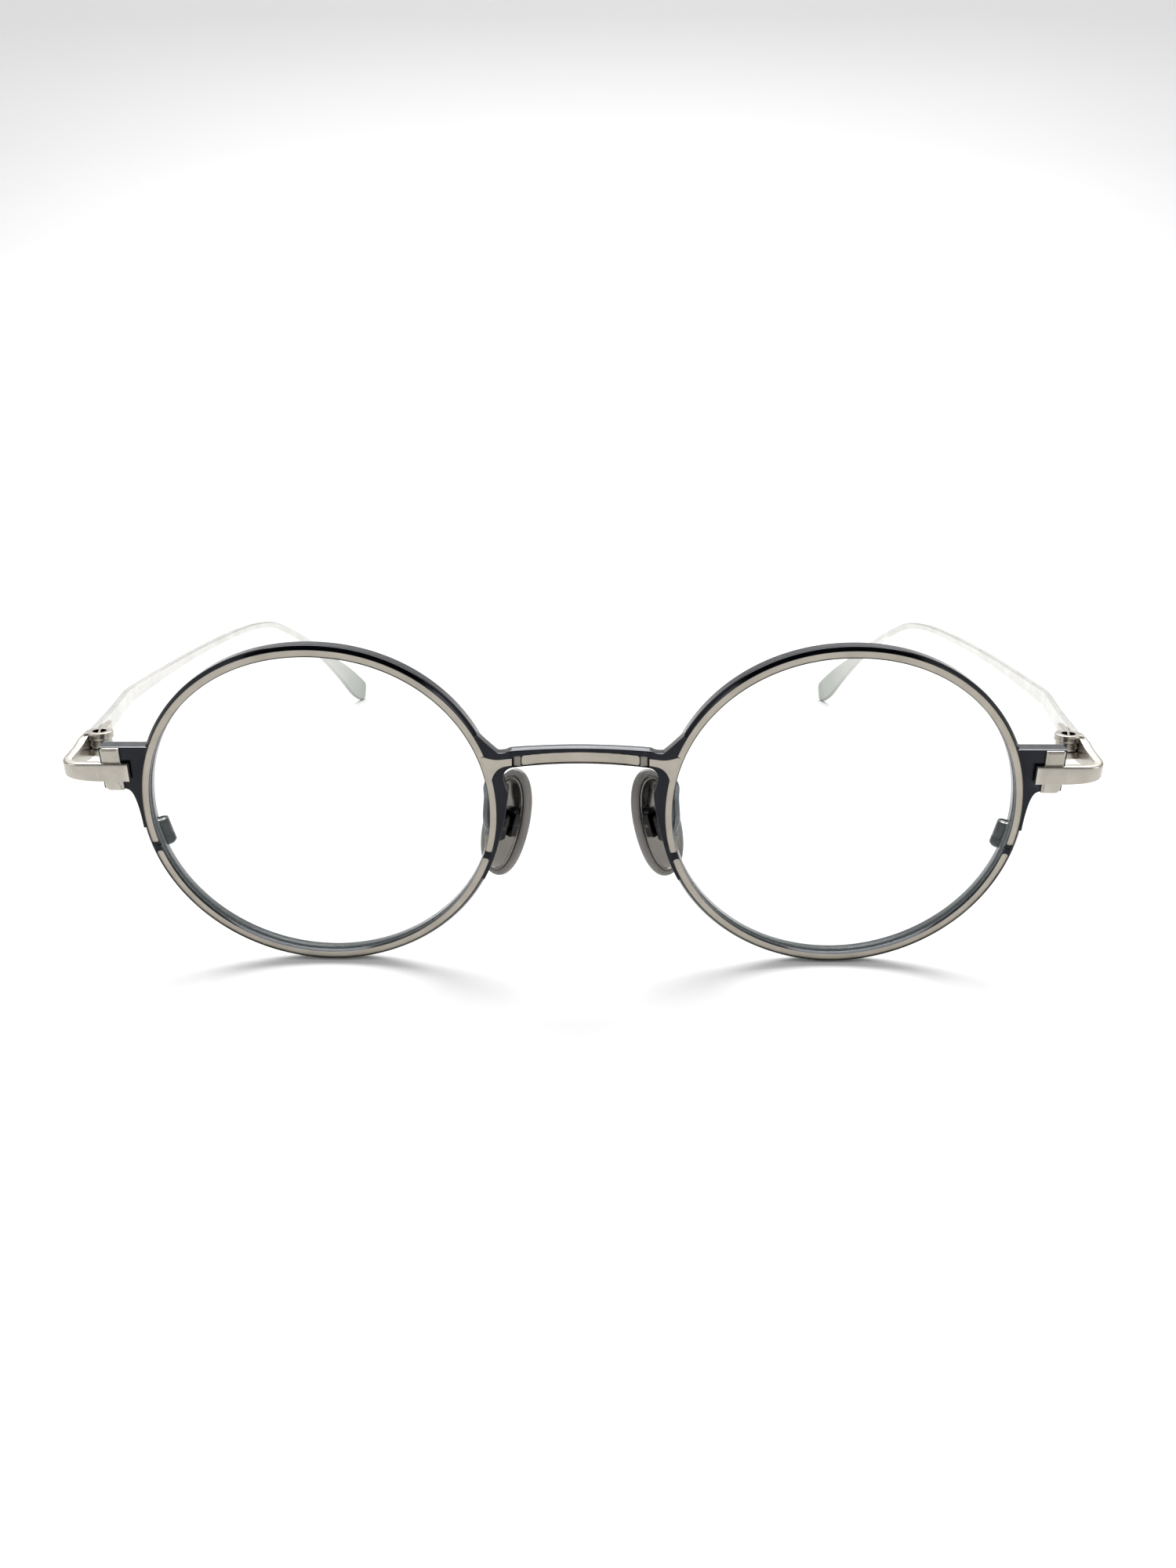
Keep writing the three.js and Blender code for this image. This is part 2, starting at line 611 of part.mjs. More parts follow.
// ---- Assembly ----
function frontSide(name) {
  const side = new THREE.Group();
  const eye = new THREE.Group();
  eye.position.x = LENS_CENTRE;
  const lock = lockParts();
  eye.add(
    piece(`${name}_rim`, rim(), NAVY),
    piece(`${name}_lens`, lens(), CLEAR),
    piece(`${name}_rim_lock_upper`, lock.upper, NAVY),
    piece(`${name}_rim_lock_lower`, lock.lower, NAVY),
    piece(`${name}_rim_lock_screw`, lock.screw, STEEL),
  );

  const hingeFrame = new THREE.Matrix4().makeRotationX(-degToRad(90 + FRONT_LEAN));
  hingeFrame.multiply(new THREE.Matrix4().makeTranslation(HINGE_X, HINGE_DEPTH, -FRONT_Z));

  const pad = new THREE.Group();
  pad.position.copy(PAD_CENTRE);
  pad.rotation.set(0, degToRad(PAD_SPLAY), degToRad(PAD_FLARE), "ZYX");
  pad.add(
    piece(`${name}_nose_pad`, nosePad(), SMOKE),
    piece(`${name}_pad_core`, padCore(), CORE),
    piece(`${name}_pad_box`, padBox(), STEEL),
    piece(`${name}_pad_screw`, padScrew(), STEEL),
  );
  pad.updateMatrix();
  const boxBack = at(0, 0, PAD_PIVOT + BOX_SIZE[2] / 2 + 0.15 + GAP + WIRE / 2);
  boxBack.applyMatrix4(pad.matrix);

  side.add(
    eye,
    pad,
    piece(`${name}_endpiece`, endpiece(hingeFrame), SILVER),
    piece(`${name}_hinge_screw`, hingeScrew(hingeFrame), STEEL),
    piece(`${name}_pad_arm`, solid(padArm(boxBack)), STEEL),
  );
  return side;
}

function templeSide(name) {
  const hinge = new THREE.Group();
  hinge.position.set(HINGE_X, HINGE_DEPTH, 0);
  hinge.add(
    piece(`${name}_temple`, temple(), TEMPLE_SILVER),
    piece(`${name}_temple_hinge`, templeHinge(), SILVER),
  );
  return hinge;
}

// The wearer's left is the +X side.
function bothSides(build) {
  const pair = new THREE.Group();
  const mirrored = new THREE.Group();
  mirrored.scale.x = -1;
  mirrored.add(build("right"));
  pair.add(build("left"), mirrored);
  return pair;
}

const front = new THREE.Group();
front.rotation.x = degToRad(90 + FRONT_LEAN);
front.position.z = FRONT_Z;
front.add(bothSides(frontSide), piece("bridge", bridge(), NAVY));

const glasses = new THREE.Group();
glasses.position.y = FRONT_Y;
glasses.add(front, bothSides(templeSide));

export default glasses;
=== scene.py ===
import math

import bmesh
import bpy
import numpy as np
from mathutils import Matrix, Vector


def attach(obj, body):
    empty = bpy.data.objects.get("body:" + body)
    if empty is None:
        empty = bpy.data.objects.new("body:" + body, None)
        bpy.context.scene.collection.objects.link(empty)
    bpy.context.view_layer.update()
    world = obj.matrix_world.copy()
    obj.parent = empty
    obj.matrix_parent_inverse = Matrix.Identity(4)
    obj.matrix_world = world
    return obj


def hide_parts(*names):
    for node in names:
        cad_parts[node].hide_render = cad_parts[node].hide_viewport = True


# Round metal eyeglasses: the fine pieces, finishes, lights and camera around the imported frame.
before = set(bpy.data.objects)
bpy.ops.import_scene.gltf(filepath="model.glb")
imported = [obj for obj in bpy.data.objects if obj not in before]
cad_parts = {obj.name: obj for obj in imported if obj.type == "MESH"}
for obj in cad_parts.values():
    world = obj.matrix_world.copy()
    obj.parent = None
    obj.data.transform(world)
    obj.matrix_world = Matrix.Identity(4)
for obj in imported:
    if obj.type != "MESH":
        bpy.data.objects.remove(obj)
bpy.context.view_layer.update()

# ---- Dimensions in millimetres, the same as in the CAD ----
GAP = 0.05
RUNNING_GAP = 0.08
LENS_CENTRE = 33.67
RIM_HALF_WIDTH = 21.9
RIM_HALF_HEIGHT = 20.95
CROWN_POWER = 2.07
RIM_WALL = 1.4
RIM_BEVEL = 0.6
RIM_DEPTH = 2.3
TRACK_DEPTH = 0.2
TRACK_INNER = 0.05
TRACK_OUTER = 0.88
TRACK_END_RADIUS = 0.3
TRACK_WALL = 0.05
GROOVE_DEPTH = 0.5
GROOVE_FRONT = 0.62
GROOVE_BACK = 1.28
FRONT_LEAN = 6
FRONT_Y = -72.17
FRONT_Z = 22.145
SPLIT_ANGLE = -13.2
SPLIT_HALF_GAP = 0.25
TRACK_TOP_END = -12
TRACK_LOW_END = -15.4
NASAL_LAND = (195.6, 198.1)
LENS_THICKNESS = 1.3
LENS_EDGE_FRONT = 0.42
LENS_BULGE = 0.8
WEB_TOP = 152
WEB_BOTTOM = 206
LOCK_RADIUS = 1.0
LOCK_INSET = 0.2
LOCK_UPPER = 2.3
LOCK_LOWER = 1.3
LOCK_BORE = 0.5
LOCK_SEAT_BORE = 0.75
LOCK_SEAT = LOCK_UPPER - 0.4
LOCK_SCREW_RADIUS = 0.42
LOCK_HEAD_RADIUS = 0.68
BRIDGE_HALF = 8.72
BRIDGE_DEPTH = 1.6
BRIDGE_LOW = (6.9, 6.3)  # the underside's height, in the middle and at the ends
BRIDGE_HIGH = (8.97, 8.6)
BRIDGE_EDGE = 0.14
BRIDGE_TRACK_LOW = (7.09, 6.62)
BRIDGE_TRACK_HIGH = (8.45, 7.95)
BRIDGE_TRACK_CORNER = 0.35
BRIDGE_TRACK_HALF = 7.45
RAMP_DEPTH = 0.45
LUG_END = 61
LUG_TOP = 8.95
LUG_BOTTOM = 3.35
LUG_DEPTH = 2.1
ARM_THICKNESS = 1.2
CROSS_POST = (58.3, 60.75, 3.15, 8.9, 0.45)  # left, right, low, high, rise above the front
CROSS_BAR = (57.25, 4.62, 7.02, 0.95)  # left, low, high, rise above the front
HINGE_X = 64.3
HINGE_DEPTH = 8.2
HINGE_BOTTOM = 27.56
HINGE_TOP = 30.66
KNUCKLE_HEIGHT = 0.92
KNUCKLE_RADIUS = 1.75
HINGE_PIN_RADIUS = 0.6
HINGE_HEAD_RADIUS = 0.98
TONGUE_RADIUS = 1.5
TEMPLE_START = 1.95
LEAF_END = 7.2
LEAF_HALF_THICKNESS = 0.45
LEAF_HALF_HEIGHT = 1.15
PAD_LENGTH = 16
PAD_WIDTH = 7.2
PAD_THICKNESS = 1.3
PAD_CENTRE = (10.15, -4.4, -6.3)
PAD_SPLAY = 36
PAD_FLARE = 14
PAD_PIVOT = 1.75
BOX_WIDTH = 2.4
BOX_HEIGHT = 3.6
BOX_WALL = 0.4
BOX_BOTTOM = PAD_PIVOT - 0.6
BOX_TOP = PAD_PIVOT + 1.0
PAD_SCREW_RADIUS = 0.35
PAD_SCREW_HEAD = 0.6
CORE_LENGTH = PAD_LENGTH - 1.85
CORE_WIDTH = PAD_WIDTH - 1.65
WIRE = 1.2
OVERLAP = 0.02

MM = Matrix.Scale(0.001, 4)
FRONT = (
    MM
    @ Matrix.Translation((0, FRONT_Y, FRONT_Z))
    @ Matrix.Rotation(math.radians(90 + FRONT_LEAN), 4, "X")
)
EYE = FRONT @ Matrix.Translation((LENS_CENTRE, 0, 0))
HINGE = MM @ Matrix.Translation((HINGE_X, HINGE_DEPTH + FRONT_Y, 0))
PAD = (
    FRONT
    @ Matrix.Translation(PAD_CENTRE)
    @ Matrix.Rotation(math.radians(PAD_FLARE), 4, "Z")
    @ Matrix.Rotation(math.radians(PAD_SPLAY), 4, "Y")
)
MIRROR = Matrix.Scale(-1, 4, (1, 0, 0))


# ---- Shader tools ----
class Nodes:
    """A material's node tree, with short ways to add and join nodes."""

    def __init__(self, name):
        self.material = bpy.data.materials.new(name)
        self.material.use_nodes = True
        self.tree = self.material.node_tree
        self.tree.nodes.clear()
        self.out = self.add("ShaderNodeOutputMaterial")

    def add(self, kind, **values):
        node = self.tree.nodes.new(kind)
        for key, value in values.items():
            if key in node.inputs:
                node.inputs[key].default_value = value
            else:
                setattr(node, key, value)
        return node

    def join(self, source, target):
        self.tree.links.new(source, target)

    def noise(self, coords, scale, stretch=(1, 1, 1), detail=3.0, rough=0.55):
        mapping = self.add("ShaderNodeMapping")
        mapping.inputs["Scale"].default_value = [scale * s for s in stretch]
        self.join(coords, mapping.inputs["Vector"])
        noise = self.add("ShaderNodeTexNoise", Scale=1.0, Detail=detail, Roughness=rough)
        self.join(mapping.outputs["Vector"], noise.inputs["Vector"])
        return noise.outputs["Fac"]

    def ramp(self, value, low, high, from_low=0.3, from_high=0.7):
        node = self.add("ShaderNodeMapRange")
        node.inputs["From Min"].default_value = from_low
        node.inputs["From Max"].default_value = from_high
        node.inputs["To Min"].default_value = low
        node.inputs["To Max"].default_value = high
        self.join(value, node.inputs["Value"])
        return node.outputs["Result"]

    def blend(self, fac, a, b):
        node = self.add("ShaderNodeMix", data_type="RGBA")
        node.inputs["A"].default_value = (*a, 1)
        node.inputs["B"].default_value = (*b, 1)
        self.join(fac, node.inputs["Factor"])
        return node.outputs["Result"]

    def cover(self, base, fac, tone):
        """A colour with one tone laid over it by a factor."""
        node = self.add("ShaderNodeMix", data_type="RGBA")
        node.inputs["B"].default_value = (*tone, 1)
        self.join(fac, node.inputs["Factor"])
        self.join(base, node.inputs["A"])
        return node.outputs["Result"]

    def coords(self, uv):
        if uv:
            return self.add("ShaderNodeUVMap", uv_map="grain").outputs["UV"]
        return self.add("ShaderNodeTexCoord").outputs["Object"]


PATCHES_PER_MM = 0.22
RELIEF = 0.00002  # metres
WORN_AND_HIGHLIT_EDGES = (0.51, 0.6)  # pointiness where the lighter edge tone (edge wear and painted highlight) starts, and where it is strongest
STRONGEST_WEAR_AND_HIGHLIGHT = 0.55
COAT_ROUGHNESS = 0.12
COAT_IOR = 1.45


def metal(name, colours, rough, grain, bump, uv=False, edge_wear_and_highlight=None, coat=0.0, painted_shade_along_y=None):
    """Brushed or satin metal.

    colours are the darker and the lighter tone, rough the least and the most roughness, grain is
    (streaks per mm, stretch), edge_wear_and_highlight the lighter tone of edges (edge wear and a painted
    edge highlight), and painted_shade_along_y (start, end, tone) a painted shade along Y in metres.
    """
    n = Nodes(name)
    coords = n.coords(uv)
    unit = 1.0 if uv else 1000.0
    scale, stretch = grain
    streaks = n.noise(coords, scale * unit, stretch, 4.0, 0.6)
    patches = n.noise(coords, PATCHES_PER_MM * unit, detail=2.0)
    shader = n.add("ShaderNodeBsdfPrincipled", Metallic=1.0)
    if coat:
        shader.inputs["Coat Weight"].default_value = coat
        shader.inputs["Coat Roughness"].default_value = COAT_ROUGHNESS
        shader.inputs["Coat IOR"].default_value = COAT_IOR
    tint = n.blend(n.ramp(patches, 0, 1), *colours)
    # Lighter tone on sharp edges, found by pointiness: edge wear and a painted edge highlight.
    if edge_wear_and_highlight:
        edges = n.add("ShaderNodeNewGeometry").outputs["Pointiness"]
        tint = n.cover(tint, n.ramp(edges, 0, STRONGEST_WEAR_AND_HIGHLIGHT, *WORN_AND_HIGHLIT_EDGES), edge_wear_and_highlight)
    # Painted shade: the colour darkens along Y towards the given tone.
    if painted_shade_along_y:
        start, end, tone = painted_shade_along_y
        place = n.add("ShaderNodeSeparateXYZ")
        n.join(n.coords(False), place.inputs["Vector"])
        tint = n.cover(tint, n.ramp(place.outputs["Y"], 0, 1, start, end), tone)
    n.join(tint, shader.inputs["Base Color"])
    n.join(n.ramp(streaks, *rough), shader.inputs["Roughness"])
    relief = n.add("ShaderNodeBump", Strength=bump, Distance=RELIEF)
    n.join(streaks, relief.inputs["Height"])
    n.join(relief.outputs["Normal"], shader.inputs["Normal"])
    n.join(shader.outputs["BSDF"], n.out.inputs["Surface"])
    return n.material


CLOUDS_PER_METRE = 150
MARKS_PER_METRE = 2500


def clear(name, colours, rough, alpha, ior=1.5):
    """A clear or translucent plastic with faint cloudiness and fine surface marks."""
    n = Nodes(name)
    coords = n.coords(False)
    cloud = n.noise(coords, CLOUDS_PER_METRE, detail=2.0)
    marks = n.noise(coords, MARKS_PER_METRE, (1, 1, 0.3))
    shader = n.add("ShaderNodeBsdfPrincipled", IOR=ior, Alpha=alpha)
    n.join(n.blend(n.ramp(cloud, 0, 1), *colours), shader.inputs["Base Color"])
    n.join(n.ramp(marks, *rough), shader.inputs["Roughness"])
    n.join(shader.outputs["BSDF"], n.out.inputs["Surface"])
    return n.material


ROUND_GRAIN = (1, 1, 1)
LONG_GRAIN = (0.05, 1, 1)
NAVY_TONES = [(0.005, 0.006, 0.009), (0.010, 0.012, 0.017)]
# Lighter navy on the edges: edge wear and a painted edge highlight.
NAVY_WEAR_AND_HIGHLIGHT = (0.04, 0.045, 0.054)
NAVY = metal(
    "navy_metal", NAVY_TONES, (0.14, 0.26), (9.0, ROUND_GRAIN), bump=0.05, edge_wear_and_highlight=NAVY_WEAR_AND_HIGHLIGHT, coat=0.4)
NAVY_RIM = metal(
    "navy_metal_rim", NAVY_TONES, (0.14, 0.26), (9.0, (0.08, 1, 1)),
    bump=0.05, uv=True, edge_wear_and_highlight=NAVY_WEAR_AND_HIGHLIGHT, coat=0.4)
TRACK = metal(
    "champagne_track", [(0.38, 0.35, 0.30), (0.46, 0.425, 0.37)], (0.26, 0.38),
    (16.0, LONG_GRAIN), bump=0.12, uv=True)
# A darker copy of the champagne track for the ramps at the bridge's ends: a painted dark reflection.
RAMP_PAINTED_REFLECTION = metal(
    "champagne_ramp_painted_reflection", [(0.16, 0.148, 0.13), (0.24, 0.222, 0.195)], (0.22, 0.34),
    (16.0, LONG_GRAIN), bump=0.1, uv=True)
# The edge tones given to these metals are lighter: edge wear and a painted edge highlight.
CHAMPAGNE = metal(
    "champagne_titanium", [(0.36, 0.335, 0.29), (0.48, 0.45, 0.40)], (0.2, 0.32),
    (22.0, (0.04, 1, 1)), bump=0.14, edge_wear_and_highlight=(0.80, 0.77, 0.72))
# The temple's colour darkens towards its tip: painted shade.
TEMPLE = metal(
    "temple_titanium", [(0.55, 0.545, 0.52), (0.64, 0.635, 0.61)], (0.22, 0.34),
    (16.0, (1, 0.03, 1)), bump=0.08, edge_wear_and_highlight=(0.82, 0.81, 0.78), painted_shade_along_y=(0.045, 0.075, (0.22, 0.24, 0.215)))
STEEL = metal(
    "steel", [(0.60, 0.60, 0.58), (0.72, 0.71, 0.69)], (0.12, 0.24),
    (14.0, ROUND_GRAIN), bump=0.05, edge_wear_and_highlight=(0.85, 0.84, 0.82))
WIRE_STEEL = metal(
    "gunmetal_wire", [(0.10, 0.108, 0.12), (0.16, 0.17, 0.185)], (0.14, 0.26),
    (10.0, ROUND_GRAIN), bump=0.04)
CORE = metal(
    "pad_core_metal", [(0.17, 0.16, 0.146), (0.22, 0.206, 0.188)], (0.1, 0.17),
    (8.0, ROUND_GRAIN), bump=0.03)
LENS = clear("lens_plastic", [(0.60, 0.70, 0.66), (0.68, 0.76, 0.73)], (0.01, 0.04), 0.05)
LENS_EDGE = clear("lens_edge", [(0.50, 0.56, 0.58), (0.64, 0.69, 0.71)], (0.06, 0.14), 0.13)
SKIN = clear("pad_silicone", [(0.15, 0.138, 0.125), (0.21, 0.195, 0.18)], (0.05, 0.12), 0.82, 1.42)


# ---- Geometry tools ----
class Geometry:
    """Vertices, faces, a material number per face and, where it has them, grain coordinates."""

    def __init__(self, verts, faces, mats=None):
        self.verts = np.asarray(verts, float).reshape(-1, 3)
        self.faces = [tuple(f) for f in faces]
        self.mats = list(mats) if mats is not None else [0] * len(self.faces)
        self.grain = None

    def __add__(self, other):
        shift = len(self.verts)
        moved = [tuple(i + shift for i in f) for f in other.faces]
        return Geometry(
            np.vstack([self.verts, other.verts]), self.faces + moved, self.mats + other.mats)

    def material(self, number):
        self.mats = [number] * len(self.faces)
        return self

    def moved(self, matrix):
        self.verts = np.array([matrix @ Vector(v) for v in self.verts])
        return self


def skin(rings, around=True, along=False, caps=True):
    """Faces over a grid of rings with equally many points. around and along say which way it closes."""
    rings = np.asarray(rings, float)
    count, sides = rings.shape[:2]
    faces = []
    for r in range(count if along else count - 1):
        a, b = r * sides, ((r + 1) % count) * sides
        for i in range(sides if around else sides - 1):
            j = (i + 1) % sides
            faces.append((a + i, a + j, b + j, b + i))
    if caps and around and not along:
        faces.append(tuple(range(sides))[::-1])
        faces.append(tuple((count - 1) * sides + i for i in range(sides)))
    return Geometry(rings.reshape(-1, 3), faces)


def rounded(corners, radius, steps=4):
    """A closed outline with each corner turned into an arc. radius is one number or one per corner."""
    corners = [np.asarray(c, float) for c in corners]
    radii = radius if hasattr(radius, "__len__") else [radius] * len(corners)
    out = []
    for i, corner in enumerate(corners):
        before, after = corners[i - 1], corners[(i + 1) % len(corners)]
        a, b = before - corner, after - corner
        la, lb = np.linalg.norm(a), np.linalg.norm(b)
        a, b = a / la, b / lb
        half = math.acos(np.clip(np.dot(a, b), -1, 1)) / 2
        reach = min(radii[i] / math.tan(half), la * 0.49, lb * 0.49)
        for k in range(steps + 1):
            t = k / steps
            out.append(
                (1 - t) ** 2 * (corner + a * reach)
                + 2 * t * (1 - t) * corner
                + t**2 * (corner + b * reach))
    return np.array(out)


def bezier(start, control, end, steps):
    """Points along a quadratic curve, without the last one."""
    a, b, c = (np.asarray(p, float) for p in (start, control, end))
    t = np.linspace(0, 1, steps, endpoint=False)[:, None]
    return (1 - t) ** 2 * a + 2 * t * (1 - t) * b + t**2 * c


def unit_rows(vectors):
    return vectors / (np.linalg.norm(vectors, axis=1)[:, None] + 1e-9)


def quarter_turn(vectors):
    return np.stack([-vectors[:, 1], vectors[:, 0]], 1)


def plate(outline, front, back, edge=0.12, steps=4, back_edge=0.05):
    """An outline in the front's plane, thickened, with rounded front and back edges."""
    outline = np.asarray(outline, float)
    following = np.roll(outline, -1, 0)
    ahead = unit_rows(following - outline)
    behind = np.roll(ahead, 1, 0)
    area = np.sum(outline[:, 0] * following[:, 1] - outline[:, 1] * following[:, 0])
    turn = 1 if area > 0 else -1
    inward = quarter_turn(unit_rows(ahead + behind)) * turn
    sharpness = np.clip(np.sum(inward * quarter_turn(ahead) * turn, 1), 0.6, 1)
    inward /= sharpness[:, None]
    rings = []

    def ring(inset, w):
        xy = outline + inward * inset
        rings.append(np.column_stack([xy, np.full(len(xy), w)]))

    for k in range(steps + 1):
        angle = math.pi / 2 * k / steps
        ring(edge * (1 - math.sin(angle)), front - edge * (1 - math.cos(angle)))
    for t in (0.2, 0.4, 0.6, 0.8):  # the wall has rings of its own, so that the lighter edge tone (edge wear and painted highlight) stays at the edges
        ring(0, (1 - t) * (front - edge) + t * (back + back_edge))
    for k in range(3):
        angle = math.pi / 4 * k
        ring(back_edge * (1 - math.cos(angle)), back + back_edge * (1 - math.sin(angle)))
    return skin(rings if turn < 0 else [r[::-1] for r in rings])


def tube(path, radius, sides=28):
    """A round wire along a path of points, each end closed by a shallow dish."""
    path = np.asarray(path, float)
    tangents = np.gradient(path, axis=0)
    tangents /= np.linalg.norm(tangents, axis=1)[:, None]
    normal = np.cross(tangents[0], (0, 0, 1))
    if np.linalg.norm(normal) < 0.1:
        normal = np.cross(tangents[0], (1, 0, 0))
    angles = np.linspace(0, 2 * math.pi, sides, endpoint=False)
    rings = []

    def ring(centre, tangent, size):
        side = np.cross(tangent, normal)
        rings.append([centre + (normal * math.cos(a) + side * math.sin(a)) * size for a in angles])

    last = len(path) - 1
    for i, (centre, tangent) in enumerate(zip(path, tangents)):
        normal = normal - tangent * np.dot(normal, tangent)
        normal /= np.linalg.norm(normal)
        if 0 < i < last:
            ring(centre, tangent, radius)
            continue
        inside = 1 if i == 0 else -1
        for k in (1, 2, 3)[::inside]:
            rise = math.sin(math.pi / 8 * k)
            ring(centre + inside * tangent * radius * (1 - rise) * 0.6, tangent, radius * rise)
    return skin(rings)


def catmull(points, steps):
    """A smooth curve through points of any dimension."""
    points = np.asarray(points, float)
    padded = np.vstack([2 * points[0] - points[1], points, 2 * points[-1] - points[-2]])
    out = []
    for i in range(1, len(padded) - 2):
        p0, p1, p2, p3 = padded[i - 1 : i + 3]
        for t in np.linspace(0, 1, steps, endpoint=False):
            out.append(
                0.5 * (2 * p1 + (p2 - p0) * t + (2 * p0 - 5 * p1 + 4 * p2 - p3) * t**2
                       + (3 * p1 - p0 - 3 * p2 + p3) * t**3))
    out.append(points[-1])
    return np.array(out)


def turned(profile, axis_from, axis_to, sides=48, hollow=False):
    """(radius, distance along the axis) pairs turned around an axis. A hollow profile closes on itself."""
    start, end = Vector(axis_from), Vector(axis_to)
    z = (end - start).normalized()
    x = z.orthogonal().normalized()
    y = z.cross(x)
    rings = []
    for radius, height in profile:
        rings.append([
            start + z * height + (x * math.cos(a) + y * math.sin(a)) * radius
            for a in np.linspace(0, 2 * math.pi, sides, endpoint=False)])
    return skin(rings, along=hollow)


def pin(radius, axis_from, axis_to, edge=0.08):
    """A cylinder with rounded edges."""
    length = (Vector(axis_to) - Vector(axis_from)).length
    edge = min(edge, radius * 0.45, length * 0.45)
    profile = [(radius - edge, 0), (radius - edge * 0.3, edge * 0.3), (radius, edge)]
    profile += [(r, length - height) for r, height in profile[::-1]]
    return turned(profile, axis_from, axis_to, 40)


def slotted_head(radius, seat, top, slot, depth, turn=0.6):
    """A flat screw head standing along the line from seat to top, with a slot cut across it."""
    end = Vector(top)
    z = (end - Vector(seat)).normalized()
    x = Matrix.Rotation(turn, 3, z) @ z.orthogonal().normalized()
    y = z.cross(x)
    length, clear_of_top = radius * 1.3, 0.2
    corners = []
    for w in (0.0, depth + clear_of_top):
        for s, u in ((-1, -1), (1, -1), (1, 1), (-1, 1)):
            corners.append(end - z * (depth - w) + x * s * length + y * u * slot / 2)
    cutter = Geometry(
        corners, [(3, 2, 1, 0), (4, 5, 6, 7), (0, 1, 5, 4), (1, 2, 6, 5), (2, 3, 7, 6), (3, 0, 4, 7)])
    return subtract(pin(radius, seat, top, 0.07), cutter)


def cell_means(values):
    """The mean of the four corners of each cell of a grid."""
    return (values[:-1, :-1] + values[1:, :-1] + values[:-1, 1:] + values[1:, 1:]) / 4


def subtract(body, cutter):
    """The body with the cutter taken out of it."""
    objects = []
    for k, g in enumerate((body, cutter)):
        mesh = bpy.data.meshes.new("cutting%d" % k)
        mesh.from_pydata([tuple(v) for v in g.verts], [], g.faces)
        bm = bmesh.new()
        bm.from_mesh(mesh)
        bmesh.ops.recalc_face_normals(bm, faces=bm.faces)
        bm.to_mesh(mesh)
        bm.free()
        o = bpy.data.objects.new("cutting%d" % k, mesh)
        bpy.context.scene.collection.objects.link(o)
        objects.append(o)
    modifier = objects[0].modifiers.new("cut", "BOOLEAN")
    modifier.operation = "DIFFERENCE"
    modifier.object = objects[1]
    modifier.solver = "EXACT"
    bpy.context.view_layer.update()
    cut = objects[0].evaluated_get(bpy.context.evaluated_depsgraph_get())
    result = bpy.data.meshes.new_from_object(cut)
    made = Geometry([v.co[:] for v in result.vertices], [tuple(p.vertices) for p in result.polygons])
    for o in objects:
        bpy.data.objects.remove(o)
    return made


def piece(name, geometry, matrix, materials, body, nodes, sharp=38, mirrored=False):
    """One finished piece, in place, riding on its body and standing in for its CAD nodes."""
    mesh = bpy.data.meshes.new(name)
    verts = [tuple(matrix @ Vector(v)) for v in geometry.verts]
    faces = [f[::-1] for f in geometry.faces] if mirrored else geometry.faces
    mesh.from_pydata(verts, [], faces)
    for material in materials:
        mesh.materials.append(material)
    mesh.polygons.foreach_set("material_index", geometry.mats)
    if geometry.grain is not None:
        layer = mesh.uv_layers.new(name="grain")
        values = np.array([geometry.grain[loop.vertex_index] for loop in mesh.loops], np.float32)
        layer.data.foreach_set("uv", values.ravel())
    bm = bmesh.new()
    bm.from_mesh(mesh)
    bmesh.ops.recalc_face_normals(bm, faces=bm.faces)
    limit = math.radians(sharp)
    for face in bm.faces:
        face.smooth = True
    for edge in bm.edges:
        edge.smooth = len(edge.link_faces) != 2 or edge.calc_face_angle(0) < limit
    bm.to_mesh(mesh)
    bm.free()
    mesh.update()
    made = bpy.data.objects.new(name, mesh)
    bpy.context.scene.collection.objects.link(made)
    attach(made, body)
    if nodes:
        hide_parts(*nodes)


def pair(label, geometry, matrix, materials, body, nodes, sharp=38):
    """The same piece on the wearer's left (+X) and, mirrored, on the right. {} stands for the side."""
    for side in ("left", "right"):
        place = matrix if side == "left" else MIRROR @ matrix
        piece(
            "%s_%s" % (side, label), geometry, place, materials, body.format(side),
            [n.format(side) for n in nodes], sharp, mirrored=side == "right")


# ---- Rim ----
def rim_point(angle, offset):
    """A point at a distance outside the rim's inner edge, around the lens centre. Arrays are fine."""
    angle, offset = np.broadcast_arrays(np.radians(angle), offset)
    c, s = np.cos(angle), np.sin(angle)
    power = np.where(s > 0, CROWN_POWER, 2.0)

    def bend(value, exponent):
        return np.sign(value) * np.abs(value) ** exponent

    nx = bend(c, 2 - 2 / power) / RIM_HALF_WIDTH
    ny = bend(s, 2 - 2 / power) / RIM_HALF_HEIGHT
    size = np.hypot(nx, ny)
    x = RIM_HALF_WIDTH * bend(c, 2 / power) + nx / size * offset
    y = RIM_HALF_HEIGHT * bend(s, 2 / power) + ny / size * offset
    return x, y


def rim_curve(angle, offset):
    """The same for one angle, as a pair of plain numbers."""
    x, y = rim_point(angle, offset)
    return float(x), float(y)


def channel(distance):
    """Depth of the milled track from the distance to its edge, with steep but smooth walls."""
    t = np.clip(0.5 - distance / TRACK_WALL, 0, 1)
    return TRACK_DEPTH * t * t * (3 - 2 * t)


